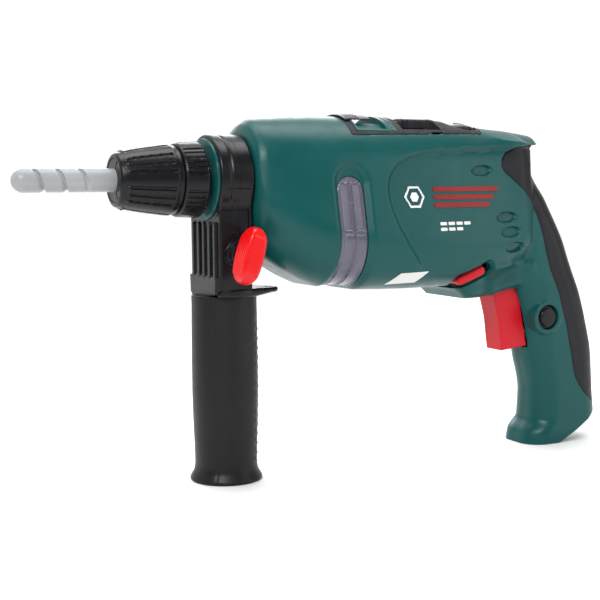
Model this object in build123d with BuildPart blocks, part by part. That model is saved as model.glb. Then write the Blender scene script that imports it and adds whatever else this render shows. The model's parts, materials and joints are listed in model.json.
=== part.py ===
"""Toy power drill: a moulded two-shell housing with a motor, a two-stage gear train, a turning
chuck and bit, a pistol grip with trigger, and a clamped side handle.

Millimetres. The drill stands on its side handle and its grip: Z is up from that surface, the
spindle lies along X with the bit pointing to -X, and the mid-plane between the shells is Y = 0.
The origin is on that surface, below the middle of the drill.
"""

from build123d import *
from math import acos, atan2, cos, radians, sin, tan
import os

os.makedirs("parts", exist_ok=True)

# ---------------------------------------------------------------- driving dimensions
AXIS_Z = 137.0  # height of the spindle axis
WALL = 2.4  # moulded wall of the housing
SKIN = 1.2  # depth of the recesses that the soft grip, the top panel and the window sit in
FIT = 0.05  # radial clearance of a running fit
GAP = 0.35  # clearance round a button, slider or cover

# Barrel sections: x, height of the top and depth of the bottom from the axis, half width.
NOSE = (-50.4, 21.5, 21.5, 21.5)
BARREL = [
    (-45.4, 27.3, 32.0, 25.5),
    (-31.4, 28.3, 41.5, 31.0),
    (-12.4, 29.2, 50.3, 34.0),
    (9.6, 29.3, 51.8, 34.4),
    (33.6, 28.8, 52.3, 34.0),
    (57.6, 27.3, 52.0, 31.0),
    (81.6, 24.6, 49.0, 27.0),
    (99.6, 22.3, 42.0, 23.5),
    (114.6, 19.8, 30.0, 20.0),
]
NOSE_CORNER, BARREL_CORNER = 0.98, 0.92  # corner radius of a section, as a share of its half size
NECK_X, NECK_R = -69.0, 18.4  # neck that the side handle clamps on

# Pistol grip sections: z, front x, rear x, half width.
GRIP = [
    (0.0, 106.1, 152.6, 14.6),
    (6.0, 107.6, 153.4, 15.2),
    (13.0, 112.2, 153.4, 14.6),
    (26.0, 112.6, 152.9, 14.2),
    (45.0, 108.8, 151.1, 14.6),
    (65.0, 105.1, 145.6, 15.6),
    (85.0, 98.6, 138.6, 17.6),
    (105.0, 89.6, 130.1, 20.0),
    (125.0, 81.6, 118.6, 21.5),
    (142.0, 79.6, 114.6, 21.5),
]
GRIP_CORNER = 0.86
HEEL = [(130.6, 0.0), (155.1, 13.0), (161.6, -1.0)]  # bevel under the heel of the grip

# Hood over the trigger, seen from the side.
HOOD = [(53.6, 87.0), (62.1, 78.5), (83.6, 78.5), (102.6, 84.0), (105.6, 100.0), (53.6, 100.0)]
HOOD_HALF = 14.0

# Gear train: module 1.0 on the output stage, 0.8 on the motor stage.
OUT_MODULE, OUT_TEETH, OUT_PINION_TEETH = 1.0, 32, 12
MOTOR_MODULE, IDLER_TEETH, MOTOR_PINION_TEETH = 0.8, 28, 12
ADDENDUM, DEDENDUM, PRESSURE_ANGLE, BACKLASH = 0.8, 1.05, 20.0, 0.06
OUT_CENTRES = OUT_MODULE * (OUT_TEETH + OUT_PINION_TEETH) / 2
MOTOR_CENTRES = MOTOR_MODULE * (IDLER_TEETH + MOTOR_PINION_TEETH) / 2
IDLER_YZ = (0.0, AXIS_Z - OUT_CENTRES)
MOTOR_YZ = (0.6 * MOTOR_CENTRES, IDLER_YZ[1] + 0.8 * MOTOR_CENTRES)
FRONT_PLATE_X, REAR_PLATE_X, PLATE_T = -44.0, -29.0, 2.5
OUT_GEAR = (-40.8, -34.8)  # x limits of the output gear
IDLER_GEAR = (-34.2, -29.8)  # x limits of the idler's large gear and the motor pinion
SPINDLE_R, IDLER_PIN_R, MOTOR_SHAFT_R = 4.0, 1.5, 1.0
BUSH_R = 6.5

# Motor, cells and battery bay.
MOTOR_R, MOTOR_WALL, MOTOR_X = 12.0, 0.8, (-26.5, 3.5)
CELL_R, CELL_LENGTH, CELL_X, CELL_Y = 7.25, 50.5, 10.6, 18.0
CELL_Z = (144.2, 128.7, 113.2)
BAY = (8.4, 63.6, 104.6, 152.8)  # x and z limits of the battery opening in the right shell

# Chuck and bit.
SLEEVE_X, SLEEVE_R = (-109.1, -83.8), (11.7, 15.7)
RING_X, RING_R = (-81.4, -70.4), (16.3, 16.9)
CHUCK_CORE_R = 8.5
BIT_R, BIT_TIP_X = 5.1, -153.4

# Side handle.
HANDLE_X = -57.8  # axis of the side grip, and the parting plane of its clamp
CLAMP_X, CLAMP_R = (-66.7, -50.8), 20.2
CLAMP_HALF = (17.6, 16.4)  # half width of the clamp's block, at the axis and at its base
GUARD_Z, GUARD_T, GUARD_TILT = 86.6, 3.0, 4.0
WING_Z, WING_STUD_R, WING_BOSS_Y = 104.0, 3.0, 21.4
WING_OUT = 34.4  # how far the wing stands out from the mid-plane
WING_SIZE, WING_TILT = (4.8, 25.6), 16.0
BOLT_R, BOLT_Z = 3.0, (16.0, 98.0)
SIDE_GRIP = [  # radius and height
    (0.0, 0.0), (16.5, 0.0), (16.5, 1.2), (14.6, 5.0), (14.2, 8.0), (14.8, 28.0), (15.1, 45.0),
    (15.0, 70.0), (14.8, 92.0), (0.0, 92.0),
]

# Trigger, seen from the side.
TRIGGER = [(87.3, 78.5), (92.9, 49.6), (108.6, 51.2), (103.2, 78.0), (99.6, 83.0), (88.6, 83.0)]
TRIGGER_HALF, TRIGGER_PULL = 6.7, 5.0
TRIGGER_SPRING_Z, TRIGGER_SPRING_X = 58.0, (107.9, 118.5)

LOCK_XZ, LOCK_R, LOCK_TRAVEL = (114.8, 66.4), 6.0, 1.6
LOCK_FACE_Y, LOCK_INNER_Y, LOCK_SEAT_Y = -16.2, -9.7, -1.2
LOCK_FLANGE_R, LOCK_RING_R = 7.2, 9.0
DIRECTION_XZ, DIRECTION_TILT = (63.4, 90.7), 20.0
DIRECTION_SLOT, DIRECTION_BAR, DIRECTION_TRAVEL = (21.0, 6.0), (17.0, 4.8), 3.0
DIRECTION_Y = (-19.8, -10.0)

# Top controls.
PANEL_X, PANEL_HALF = (-2.5, 78.0), 21.0
TRAY_X, TRAY_HALF = (3.5, 22.5), 17.0
SLIDER_X, SLIDER_HALF, SLIDER_Z, SLIDER_TRAVEL = (-2.0, 12.6), 8.0, (163.4, 167.7), 8.0
KNOB_X, KNOB_HALF, KNOB_Z, KNOB_TRAVEL = (28.6, 45.2), 7.6, (160.4, 165.9), 3.5
DIAL_X, DIAL_R, DIAL_Z = 67.6, 8.8, (158.8, 164.0)

SCREWS = [(-36.4, 159.0), (79.6, 151.5), (-22.4, 97.5), (40.0, 96.5), (109.6, 93.0), (123.6, 22.0)]
BOSS_R, SCREW_R, SCREW_HEAD_R, SCREW_HEAD_Y = 3.6, 1.1, 2.5, 6.0
# Electrics: x, y and z limits of the board and the trigger switch; x and z of the rest.
BOARD, SWITCH = ((14, 50), (-6, -4.4), (112, 148)), ((119, 127), (-6, 6), (52, 64))
CHIP, BUZZER_XZ, SPEAKER_XZ, LED_Z = ((24, 34), (-8, -6), (124, 134)), (42, 140), (84, 118), 122
VENTS = [(65.0, 139.7), (81.0, 116.6), (83.5, 109.5), (86.4, 101.9)]
VENT_SIZE, VENT_FLOOR = (13.4, 5.2), 1.8

# Edge of the soft rear grip on the side of the handle, from the top down.
REAR_GRIP = [
    (108.0, 153.5), (95.1, 151.0), (88.6, 148.0), (86.2, 142.5), (88.2, 137.0), (94.6, 130.5),
    (102.6, 122.0), (109.6, 112.0), (114.1, 101.0), (116.6, 91.0), (121.1, 79.0), (126.6, 63.0),
    (130.6, 48.0), (132.8, 38.0), (136.6, 30.0), (145.1, 21.0), (156.0, 16.5),
]
# Edge of the recessed side panel, from the front of its foot up and back.
SIDE_PANEL = [
    (84.0, 93.0), (31.9, 96.0), (31.9, 99.5), (23.3, 112.5), (15.8, 120.4), (11.5, 129.6),
    (12.0, 136.4), (16.8, 143.2), (26.0, 147.7), (38.5, 150.1), (61.0, 151.6), (96.0, 153.2),
]
WINDOW_X, WINDOW_TOP_Z = (-15.6, -2.0), 137.3
WINDOW_RIM = 2.6


# ---------------------------------------------------------------- construction helpers
def save(builder, name):
    """Labels a finished piece and writes its STEP file."""
    builder.part.label = name
    export_step(builder.part, f"parts/{name}.step")


def across(x):
    """Plane across the spindle at x: its own x is +Y and its own y is +Z."""
    return Plane.YZ.offset(x)


def side(y):
    """Plane along the drill at y, drawn in x and z, facing the left-hand side (-Y)."""
    return Plane.XZ.offset(-y)


def block(x, y, z):
    """A plain box between pairs of limits."""
    with BuildPart() as box:
        with Locations([((x[0] + x[1]) / 2, (y[0] + y[1]) / 2, (z[0] + z[1]) / 2)]):
            Box(x[1] - x[0], y[1] - y[0], z[1] - z[0])
    return box.part


def side_bar(points, y, grow=0.0):
    """A prism of a side outline between two values of y, grown all round."""
    with BuildPart() as bar:
        with BuildSketch(side(y[1])):
            with BuildLine():
                Polyline(*points, close=True)
            make_face()
            if grow:
                offset(amount=grow, kind=Kind.INTERSECTION)
        extrude(amount=y[1] - y[0])
    return bar.part


def side_rod(xz, radius, y):
    """A cylinder along Y between two values of y."""
    with BuildPart() as rod:
        with BuildSketch(side(y[1])):
            with Locations(xz):
                Circle(radius)
        extrude(amount=y[1] - y[0])
    return rod.part


def side_slot(xz, size, tilt, y):
    """A bar along Y with a rounded, tilted outline of the given length and height."""
    with BuildPart() as bar:
        with BuildSketch(side(y[1])):
            with Locations(Location((xz[0], xz[1], 0), tilt)):
                SlotOverall(size[0], size[1])
        extrude(amount=y[1] - y[0])
    return bar.part


def rod(x, radius, yz=(0.0, AXIS_Z), bore=0.0):
    """A cylinder along X, or a tube where it has a bore."""
    with BuildPart() as bar:
        with BuildSketch(across(x[0])):
            with Locations(yz):
                Circle(radius)
                if bore:
                    Circle(bore, mode=Mode.SUBTRACT)
        extrude(amount=x[1] - x[0])
    return bar.part


def turned(profile):
    """A solid turned about the spindle axis from a closed profile of x and radius."""
    with BuildPart() as body:
        with BuildSketch(Plane(origin=(0, 0, AXIS_Z), x_dir=(1, 0, 0), z_dir=(0, -1, 0))):
            with BuildLine():
                Polyline(*profile, close=True)
            make_face()
        revolve(axis=Axis((0, 0, AXIS_Z), (1, 0, 0)))
    return body.part


def section(plane, centre, size, share):
    """A rounded rectangle: its corner radius is a share of its smaller half size."""
    with BuildSketch(plane) as outline:
        with Locations(centre):
            RectangleRounded(size[0], size[1], share * min(size) / 2)
    return outline.sketch.face()


def barrel_section(station, x, inset, share=BARREL_CORNER):
    """One section of the barrel at x, drawn in by inset."""
    _, top, bottom, half = station
    size = (2 * (half - inset), top + bottom - 2 * inset)
    return section(across(x), (0, AXIS_Z + (top - bottom) / 2), size, share)


def grip_section(station, inset):
    """One section of the pistol grip, drawn in by inset; the lowest one is lifted by it."""
    z, front, rear, half = station
    plane = Plane.XY.offset(z + inset if station == GRIP[0] else z)
    size = (rear - front - 2 * inset, 2 * (half - inset))
    return section(plane, ((front + rear) / 2, 0), size, GRIP_CORNER)


def form(inset):
    """The housing's solid form, drawn in by inset all round."""
    shifts = {BARREL[0][0]: 0.5 * inset, BARREL[-1][0]: -inset}
    barrel = [barrel_section(row, row[0] + shifts.get(row[0], 0.0), inset) for row in BARREL]
    nose = barrel_section(NOSE, NOSE[0] + inset, inset, NOSE_CORNER)
    grip = [grip_section(row, inset) for row in GRIP]
    hood = side_bar(HOOD, (-HOOD_HALF + inset, HOOD_HALF - inset), grow=-inset)
    heel = side_bar(HEEL, (-30, 30), grow=inset)
    with BuildPart() as shape:
        loft(sections=barrel)
        loft(sections=[nose, barrel[0]])
        loft(sections=grip)
        add(hood)
        add(heel, mode=Mode.SUBTRACT)
    return shape.part


def gear_outline(module, teeth, phase):
    """Points round an involute spur gear; phase turns it by that share of a tooth."""
    pitch_r = module * teeth / 2
    base_r = pitch_r * cos(radians(PRESSURE_ANGLE))
    tip_r, root_r = pitch_r + ADDENDUM * module, pitch_r - DEDENDUM * module
    flat = tan(radians(PRESSURE_ANGLE)) - radians(PRESSURE_ANGLE)
    half_tooth = radians(90) / teeth - BACKLASH / (4 * pitch_r)
    flank_steps = 6
    flank = []
    for step in range(flank_steps + 1):
        radius = max(base_r, root_r) + (tip_r - max(base_r, root_r)) * step / flank_steps
        roll = acos(min(1.0, base_r / radius))
        flank.append((radius, half_tooth + flat - (tan(roll) - roll)))
    flank.insert(0, (root_r, flank[0][1]))
    points = []
    for tooth in range(teeth):
        centre = radians(360) * (tooth + phase) / teeth
        points += [(r * cos(centre - a), r * sin(centre - a)) for r, a in flank]
        points += [(r * cos(centre + a), r * sin(centre + a)) for r, a in reversed(flank)]
    return points


def gear(module, teeth, x, yz, toward, phase, bore):
    """A spur gear along X, with a tooth (phase 0) or a gap (0.5) facing the angle toward."""
    with BuildPart() as wheel:
        plane = Plane(origin=(x[0], yz[0], yz[1]), x_dir=(0, cos(toward), sin(toward)), z_dir=(1, 0, 0))
        with BuildSketch(plane):
            with BuildLine():
                Polyline(*gear_outline(module, teeth, phase), close=True)
            make_face()
            Circle(bore, mode=Mode.SUBTRACT)
        extrude(amount=x[1] - x[0])
    return wheel.part


def coil(start, direction, length, radius, wire, turns):
    """A closed helical spring."""
    with BuildPart() as spring:
        with BuildLine():
            path = Helix(length / turns, length, radius, center=start, direction=direction)
        with BuildSketch(Plane(origin=path @ 0, z_dir=path % 0)):
            Circle(wire)
        sweep(is_frenet=True)
    return spring.part


# ---------------------------------------------------------------- housing
outer, middle, inner = form(0.0), form(SKIN), form(WALL)
vent_floor = form(VENT_FLOOR)

with BuildPart() as skin:  # outer half of the wall, which the recesses are cut in
    add(outer)
    add(middle, mode=Mode.SUBTRACT)
with BuildPart() as core:  # inner half of the wall
    add(middle)
    add(inner, mode=Mode.SUBTRACT)

rear_zone = side_bar(REAR_GRIP + [(170.0, 16.5), (170.0, 154.2)], (-40, 40))
panel_zone = block(PANEL_X, (-PANEL_HALF, PANEL_HALF), (150, 170))
tray_zone = block(TRAY_X, (-TRAY_HALF, TRAY_HALF), (150, 170))
panel_pocket = side_bar(SIDE_PANEL + [(115.0, 153.6), (115.0, 93.0)], (-40, 40))
window_mid = (WINDOW_X[0] + WINDOW_X[1]) / 2
window_zone = side_bar(
    [(WINDOW_X[0], 60), (WINDOW_X[0], 132.0), (window_mid, WINDOW_TOP_Z), (WINDOW_X[1], 132.0), (WINDOW_X[1], 60)],
    (-40, 40),
)
window_pocket = side_bar(
    [
        (WINDOW_X[0] - WINDOW_RIM, 60),
        (WINDOW_X[0] - WINDOW_RIM, 137.0),
        (window_mid, WINDOW_TOP_Z + 2 * WINDOW_RIM),
        (WINDOW_X[1] + WINDOW_RIM, 137.0),
        (WINDOW_X[1] + WINDOW_RIM, 60),
    ],
    (-40, 40),
)
slider_slot = block(
    (SLIDER_X[0] - GAP, SLIDER_X[1] + SLIDER_TRAVEL + GAP),
    (-SLIDER_HALF - GAP, SLIDER_HALF + GAP),
    (SLIDER_Z[0] - 0.1, 175),
)
knob_slot = block(
    (KNOB_X[0] - GAP, KNOB_X[1] + KNOB_TRAVEL + GAP),
    (-KNOB_HALF - GAP, KNOB_HALF + GAP),
    (KNOB_Z[0] - 0.1, 175),
)
with BuildPart() as dial_pit:
    with BuildSketch(Plane.XY.offset(DIAL_Z[0] - 0.1)):
        with Locations((DIAL_X, 0)):
            Circle(DIAL_R + GAP)
    extrude(amount=12)
with BuildPart() as top_pad:  # thickens the wall under the top controls
    add(block((PANEL_X[0] - 3, PANEL_X[1] + 3), (-12, 12), (156.4, 170)))
    add(middle, mode=Mode.INTERSECT)
with BuildPart() as vent_cuts:
    for vent in VENTS:
        add(side_slot(vent, VENT_SIZE, 0, (-40, 40)))
    add(vent_floor, mode=Mode.SUBTRACT)
with BuildPart() as bay_cut:
    add(block((BAY[0], BAY[1]), (5, 40), (BAY[2], BAY[3])))
with BuildPart() as rear_grip:
    add(skin.part)
    add(rear_zone, mode=Mode.INTERSECT)

front, low, rear_low, rear_high, top_rear, top_front = TRIGGER
trigger_slot = side_bar(
    [
        (front[0] - GAP, front[1]),
        (low[0] - GAP, low[1] - GAP),
        (low[0] + TRIGGER_PULL, low[1] - GAP),
        (rear_low[0] + TRIGGER_PULL + GAP, rear_low[1] - GAP),
        (rear_high[0] + TRIGGER_PULL + GAP, rear_high[1]),
        (top_rear[0] + TRIGGER_PULL + GAP, top_rear[1] + GAP),
        (top_front[0] - GAP, top_front[1] + GAP),
    ],
    (-TRIGGER_HALF - GAP, TRIGGER_HALF + GAP),
)
direction_slot = side_slot(DIRECTION_XZ, DIRECTION_SLOT, DIRECTION_TILT, (-40, -8))
lock_hole = side_rod(LOCK_XZ, LOCK_R + GAP, (-30, -7))
lock_guide = side_rod(LOCK_XZ, LOCK_RING_R, (LOCK_FACE_Y + 0.8, LOCK_INNER_Y))
lock_room = side_rod(LOCK_XZ, LOCK_FLANGE_R + GAP, (LOCK_INNER_Y, LOCK_INNER_Y + 0.9 + LOCK_TRAVEL + GAP))
lock_post = side_rod(LOCK_XZ, 3.0, (LOCK_SEAT_Y, 13.5))

neck = turned([(NECK_X, 0), (NECK_X, NECK_R), (NOSE[0] + 4, NECK_R), (NOSE[0] + 4, 0)])
neck_hollow = rod((NECK_X + WALL, NOSE[0] + 5), NECK_R - WALL)
bush_boss = rod((NECK_X, NECK_X + 9), BUSH_R + WALL)
bush_bore = rod((NECK_X - 1, NECK_X + 10), BUSH_R)

with BuildPart() as bosses:  # posts that the case screws pass through
    for boss in SCREWS:
        add(side_rod(boss, BOSS_R, (-40, 40)))
    add(middle, mode=Mode.INTERSECT)

with BuildPart() as shell:  # both halves of the housing, before they are parted
    add(skin.part)
    add(panel_pocket, mode=Mode.SUBTRACT)
    add(window_pocket, mode=Mode.SUBTRACT)
    add(core.part)
    add(bosses.part)
    add(top_pad.part)
    add(neck)
    add(neck_hollow, mode=Mode.SUBTRACT)
    add(bush_boss)
    add(bush_bore, mode=Mode.SUBTRACT)
    add(window_zone, mode=Mode.SUBTRACT)
    add(rear_grip.part, mode=Mode.SUBTRACT)
    add(slider_slot, mode=Mode.SUBTRACT)
    add(knob_slot, mode=Mode.SUBTRACT)
    add(dial_pit.part, mode=Mode.SUBTRACT)
    add(trigger_slot, mode=Mode.SUBTRACT)
    add(vent_cuts.part, mode=Mode.SUBTRACT)

with BuildPart() as top_panel:  # black cover of the top controls, let into the housing
    add(skin.part)
    add(panel_zone, mode=Mode.INTERSECT)
    add(tray_zone, mode=Mode.SUBTRACT)
    add(slider_slot, mode=Mode.SUBTRACT)
    add(knob_slot, mode=Mode.SUBTRACT)
    add(dial_pit.part, mode=Mode.SUBTRACT)

with BuildPart() as light_window:  # smoked lens that wraps under the barrel
    add(core.part)
    add(window_zone, mode=Mode.INTERSECT)

with BuildPart() as left_shell:
    add(shell.part)
    split(bisect_by=Plane.XZ, keep=Keep.TOP)
    add(top_panel.part, mode=Mode.SUBTRACT)
    add(direction_slot, mode=Mode.SUBTRACT)
    add(lock_guide)
    add(lock_hole, mode=Mode.SUBTRACT)
    add(lock_room, mode=Mode.SUBTRACT)
    for hole in SCREWS:
        add(side_rod(hole, SCREW_R, (-9, 1)), mode=Mode.SUBTRACT)

with BuildPart() as right_shell:
    add(shell.part)
    split(bisect_by=Plane.XZ, keep=Keep.BOTTOM)
    add(top_panel.part, mode=Mode.SUBTRACT)
    add(bay_cut.part, mode=Mode.SUBTRACT)
    add(lock_post)
    for hole in SCREWS:
        add(side_rod(hole, SCREW_R, (-1, 50)), mode=Mode.SUBTRACT)
        add(side_rod(hole, SCREW_HEAD_R, (SCREW_HEAD_Y, 50)), mode=Mode.SUBTRACT)

# ---------------------------------------------------------------- battery cover and bay
cover_zone = block((BAY[0] + GAP, BAY[1] - GAP), (5, 40), (BAY[2] + GAP, BAY[3] - GAP))
cover_screw_xz = (BAY[1] - 5.0, BAY[2] + 6.0)
screw_tip_y, screw_seat_y, screw_top_y = 26.2, 29.5, 31.3
with BuildPart() as battery_cover:
    add(skin.part)
    add(panel_pocket, mode=Mode.SUBTRACT)
    add(core.part)
    add(cover_zone, mode=Mode.INTERSECT)
    add(side_rod(cover_screw_xz, SCREW_R, (5, 45)), mode=Mode.SUBTRACT)
    add(side_rod(cover_screw_xz, SCREW_HEAD_R + 0.3, (screw_seat_y, 45)), mode=Mode.SUBTRACT)

with BuildPart() as cover_screw:
    add(side_rod(cover_screw_xz, SCREW_R, (screw_tip_y, screw_seat_y)))
    add(side_rod(cover_screw_xz, SCREW_HEAD_R, (screw_seat_y, screw_top_y)))

cell_end = CELL_X + CELL_LENGTH
tray_wall = 1.2
with BuildPart() as battery_tray:  # back plate, end walls and ribs between the cells
    back_y = CELL_Y - CELL_R - 0.1
    tray_z = (CELL_Z[2] - CELL_R - 0.6, CELL_Z[0] + CELL_R + 0.6)
    add(block((CELL_X - 2.0, cell_end + 2.0), (back_y - tray_wall, back_y), tray_z))
    add(block((CELL_X - 2.0, CELL_X - 0.8), (back_y, CELL_Y + 4), tray_z))
    add(block((cell_end + 0.8, cell_end + 2.0), (back_y, CELL_Y + 4), tray_z))
    for upper, lower in ((0, 1), (1, 2)):
        rib_z = (CELL_Z[upper] + CELL_Z[lower]) / 2
        add(block((CELL_X + 6, cell_end - 6), (back_y, back_y + 5), (rib_z - 0.4, rib_z + 0.4)))

with BuildPart() as battery_contacts:  # one spring plate at each end of each cell
    for cell_z in CELL_Z:
        for x_limits in ((CELL_X - 0.8, CELL_X - 0.3), (cell_end + 0.3, cell_end + 0.8)):
            add(block(x_limits, (CELL_Y - 4.5, CELL_Y + 4.0), (cell_z - 4.5, cell_z + 4.5)))

cells = []
for number, cell_z in enumerate(CELL_Z, start=1):
    with BuildPart() as cell:
        add(rod((CELL_X, cell_end - 1.0), CELL_R, (CELL_Y, cell_z)))
        add(rod((cell_end - 1.0, cell_end), 2.7, (CELL_Y, cell_z)))
    cells.append((cell, f"battery_cell_{number}"))

# ---------------------------------------------------------------- gear train and motor
plate_outline_z = (AXIS_Z - 27.0, AXIS_Z + 15.5)


def gear_plate(x, spindle_hole):
    """One plate of the gearbox: holes for the spindle, the idler pin and the motor boss."""
    centre = (plate_outline_z[0] + plate_outline_z[1]) / 2
    height = plate_outline_z[1] - plate_outline_z[0]
    with BuildPart() as plate:
        with BuildSketch(across(x)):
            with Locations((0, centre)):
                RectangleRounded(34.0, height, 10.0)
            with Locations((0, AXIS_Z)):
                Circle(spindle_hole, mode=Mode.SUBTRACT)
            with Locations(IDLER_YZ):
                Circle(IDLER_PIN_R, mode=Mode.SUBTRACT)
        extrude(amount=PLATE_T)
    return plate.part


post_points = [(-14.0, AXIS_Z + 12.0), (14.0, AXIS_Z + 12.0), (-13.5, IDLER_YZ[1] - 0.5), (13.5, IDLER_YZ[1] - 0.5)]
with BuildPart() as gearbox_front_plate:
    add(gear_plate(FRONT_PLATE_X, SPINDLE_R + 0.8))
rear_plate = gear_plate(REAR_PLATE_X, BUSH_R)
with BuildPart() as gearbox_rear_plate:
    add(rear_plate)
    with BuildSketch(across(REAR_PLATE_X)):
        with Locations(MOTOR_YZ):
            Circle(3.0)
    extrude(amount=PLATE_T, mode=Mode.SUBTRACT)
with BuildPart() as gearbox_posts:  # spacers between the plates
    for post in post_points:
        add(rod((FRONT_PLATE_X + PLATE_T, REAR_PLATE_X), 1.4, post))

with BuildPart() as spindle_front_bush:
    add(rod((NECK_X, NECK_X + 9), BUSH_R, bore=SPINDLE_R + FIT))
with BuildPart() as spindle_rear_bush:
    add(rod((REAR_PLATE_X, REAR_PLATE_X + PLATE_T), BUSH_R, bore=SPINDLE_R + FIT))
with BuildPart() as idler_pin:
    add(rod((FRONT_PLATE_X, REAR_PLATE_X + PLATE_T), IDLER_PIN_R, IDLER_YZ))

down = radians(-90)
to_motor = atan2(MOTOR_YZ[1] - IDLER_YZ[1], MOTOR_YZ[0] - IDLER_YZ[0])
output_wheel = gear(OUT_MODULE, OUT_TEETH, OUT_GEAR, (0, AXIS_Z), down, 0.0, SPINDLE_R)
pinion_reach = (OUT_GEAR[0], IDLER_GEAR[0])
idler_small = gear(OUT_MODULE, OUT_PINION_TEETH, pinion_reach, IDLER_YZ, -down, 0.5, IDLER_PIN_R + FIT)
idler_large = gear(MOTOR_MODULE, IDLER_TEETH, IDLER_GEAR, IDLER_YZ, to_motor, 0.0, IDLER_PIN_R + FIT)
to_idler = to_motor + radians(180)
pinion = gear(MOTOR_MODULE, MOTOR_PINION_TEETH, IDLER_GEAR, MOTOR_YZ, to_idler, 0.5, MOTOR_SHAFT_R)
with BuildPart() as output_gear:
    add(output_wheel)
with BuildPart() as idler_gear:
    add(idler_small)
    add(idler_large)
with BuildPart() as motor_pinion:
    add(pinion)

with BuildPart() as motor_can:
    add(rod(MOTOR_X, MOTOR_R, MOTOR_YZ))
    add(rod((MOTOR_X[0] + MOTOR_WALL, MOTOR_X[1]), MOTOR_R - MOTOR_WALL, MOTOR_YZ), mode=Mode.SUBTRACT)
    add(rod((MOTOR_X[0] - 1, MOTOR_X[0] + 2), MOTOR_SHAFT_R + FIT, MOTOR_YZ), mode=Mode.SUBTRACT)
with BuildPart() as motor_magnets:  # two arcs inside the can
    add(rod((MOTOR_X[0] + 4, MOTOR_X[1] - 5), MOTOR_R - MOTOR_WALL, MOTOR_YZ, bore=MOTOR_R - 3.0))
    gap_y = (MOTOR_YZ[0] - 14, MOTOR_YZ[0] + 14)
    add(block((-40, 10), gap_y, (MOTOR_YZ[1] - 3, MOTOR_YZ[1] + 3)), mode=Mode.SUBTRACT)
with BuildPart() as motor_end_cap:
    add(rod((MOTOR_X[1], MOTOR_X[1] + 3), MOTOR_R, MOTOR_YZ, bore=MOTOR_SHAFT_R + FIT))
with BuildPart() as motor_shaft:
    add(rod((IDLER_GEAR[0], MOTOR_X[1] + 2.5), MOTOR_SHAFT_R, MOTOR_YZ))
with BuildPart() as motor_armature:  # three wound poles
    armature = (MOTOR_X[0] + 5, MOTOR_X[1] - 6)
    add(rod(armature, MOTOR_R - 3.6, MOTOR_YZ, bore=MOTOR_SHAFT_R))
    plane = Plane(origin=(armature[0], MOTOR_YZ[0], MOTOR_YZ[1]), x_dir=(0, 1, 0), z_dir=(1, 0, 0))
    with BuildSketch(plane):
        with PolarLocations(6.6, 3):
            Rectangle(4.4, 2.0)
    extrude(amount=armature[1] - armature[0], mode=Mode.SUBTRACT)

# ---------------------------------------------------------------- spindle, chuck and bit
with BuildPart() as spindle_shaft:
    add(rod((RING_X[1] - 6, REAR_PLATE_X + PLATE_T - 0.3), SPINDLE_R))
with BuildPart() as chuck_core:
    add(turned([(SLEEVE_X[0] + 1.5, 0), (SLEEVE_X[0] + 1.5, CHUCK_CORE_R), (RING_X[1], CHUCK_CORE_R), (RING_X[1], 0)]))
    add(rod((RING_X[1] - 6, RING_X[1] + 1), SPINDLE_R), mode=Mode.SUBTRACT)
    add(rod((SLEEVE_X[0] - 1, SLEEVE_X[0] + 14), BIT_R), mode=Mode.SUBTRACT)


def ribbed_ring(profile, x, radius, count, depth):
    """A turned ring with a row of grooves along it."""
    ring = turned(profile)
    step = 360 / count
    with BuildPart() as grooved:
        add(ring)
        with BuildSketch(Plane(origin=(x[0], 0, AXIS_Z), x_dir=(0, 1, 0), z_dir=(1, 0, 0))):
            with PolarLocations(radius, count, start_angle=step / 2):
                Rectangle(2 * depth, 1.4)
        extrude(amount=x[1] - x[0], mode=Mode.SUBTRACT)
    return grooved.part


sleeve_profile = [
    (SLEEVE_X[0], CHUCK_CORE_R),
    (SLEEVE_X[0], SLEEVE_R[0] - 0.6),
    (SLEEVE_X[0] + 1.0, SLEEVE_R[0] + 0.4),
    (SLEEVE_X[0] + 9.0, SLEEVE_R[0] + 2.4),
    (SLEEVE_X[0] + 18.0, SLEEVE_R[1] - 0.6),
    (SLEEVE_X[1] - 1.5, SLEEVE_R[1]),
    (SLEEVE_X[1], SLEEVE_R[1] - 0.9),
    (RING_X[0], SLEEVE_R[1] - 0.9),
    (RING_X[0], CHUCK_CORE_R),
]
ring_profile = [
    (RING_X[0], CHUCK_CORE_R),
    (RING_X[0], RING_R[0]),
    (RING_X[0] + 0.8, RING_R[0] + 0.3),
    (RING_X[1] - 0.8, RING_R[1]),
    (RING_X[1], RING_R[1] - 0.4),
    (RING_X[1], CHUCK_CORE_R),
]
sleeve_part = ribbed_ring(sleeve_profile, (SLEEVE_X[0] + 13, SLEEVE_X[1] - 1.5), SLEEVE_R[1] + 0.2, 24, 0.8)
ring_part = ribbed_ring(ring_profile, (RING_X[0] + 1.5, RING_X[1] - 1.5), RING_R[1] + 0.3, 24, 0.9)
with BuildPart() as chuck_sleeve:
    add(sleeve_part)
with BuildPart() as chuck_ring:
    add(ring_part)
bit_shank = rod((BIT_TIP_X + BIT_R, SLEEVE_X[0] + 14), BIT_R)
with BuildPart() as drill_bit:
    add(bit_shank)
    with Locations((BIT_TIP_X + BIT_R, 0, AXIS_Z)):
        Sphere(BIT_R)

# ---------------------------------------------------------------- side handle
guard_plane = Plane(
    origin=(HANDLE_X, 0, GUARD_Z),
    x_dir=(cos(radians(GUARD_TILT)), 0, sin(radians(GUARD_TILT))),
    z_dir=(-sin(radians(GUARD_TILT)), 0, cos(radians(GUARD_TILT))),
)
guard_r, tongue = 17.5, 26.6
with BuildPart() as hand_guard:  # plate between the clamp and the grip, with a tongue to the rear
    with BuildSketch(guard_plane.offset(-GUARD_T / 2)):
        Circle(guard_r)
        with BuildLine():
            Polyline((8, -15.3), (tongue, -5), (tongue, 5), (8, 15.3), close=True)
        make_face()
        Circle(BOLT_R, mode=Mode.SUBTRACT)
    extrude(amount=GUARD_T)

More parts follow.
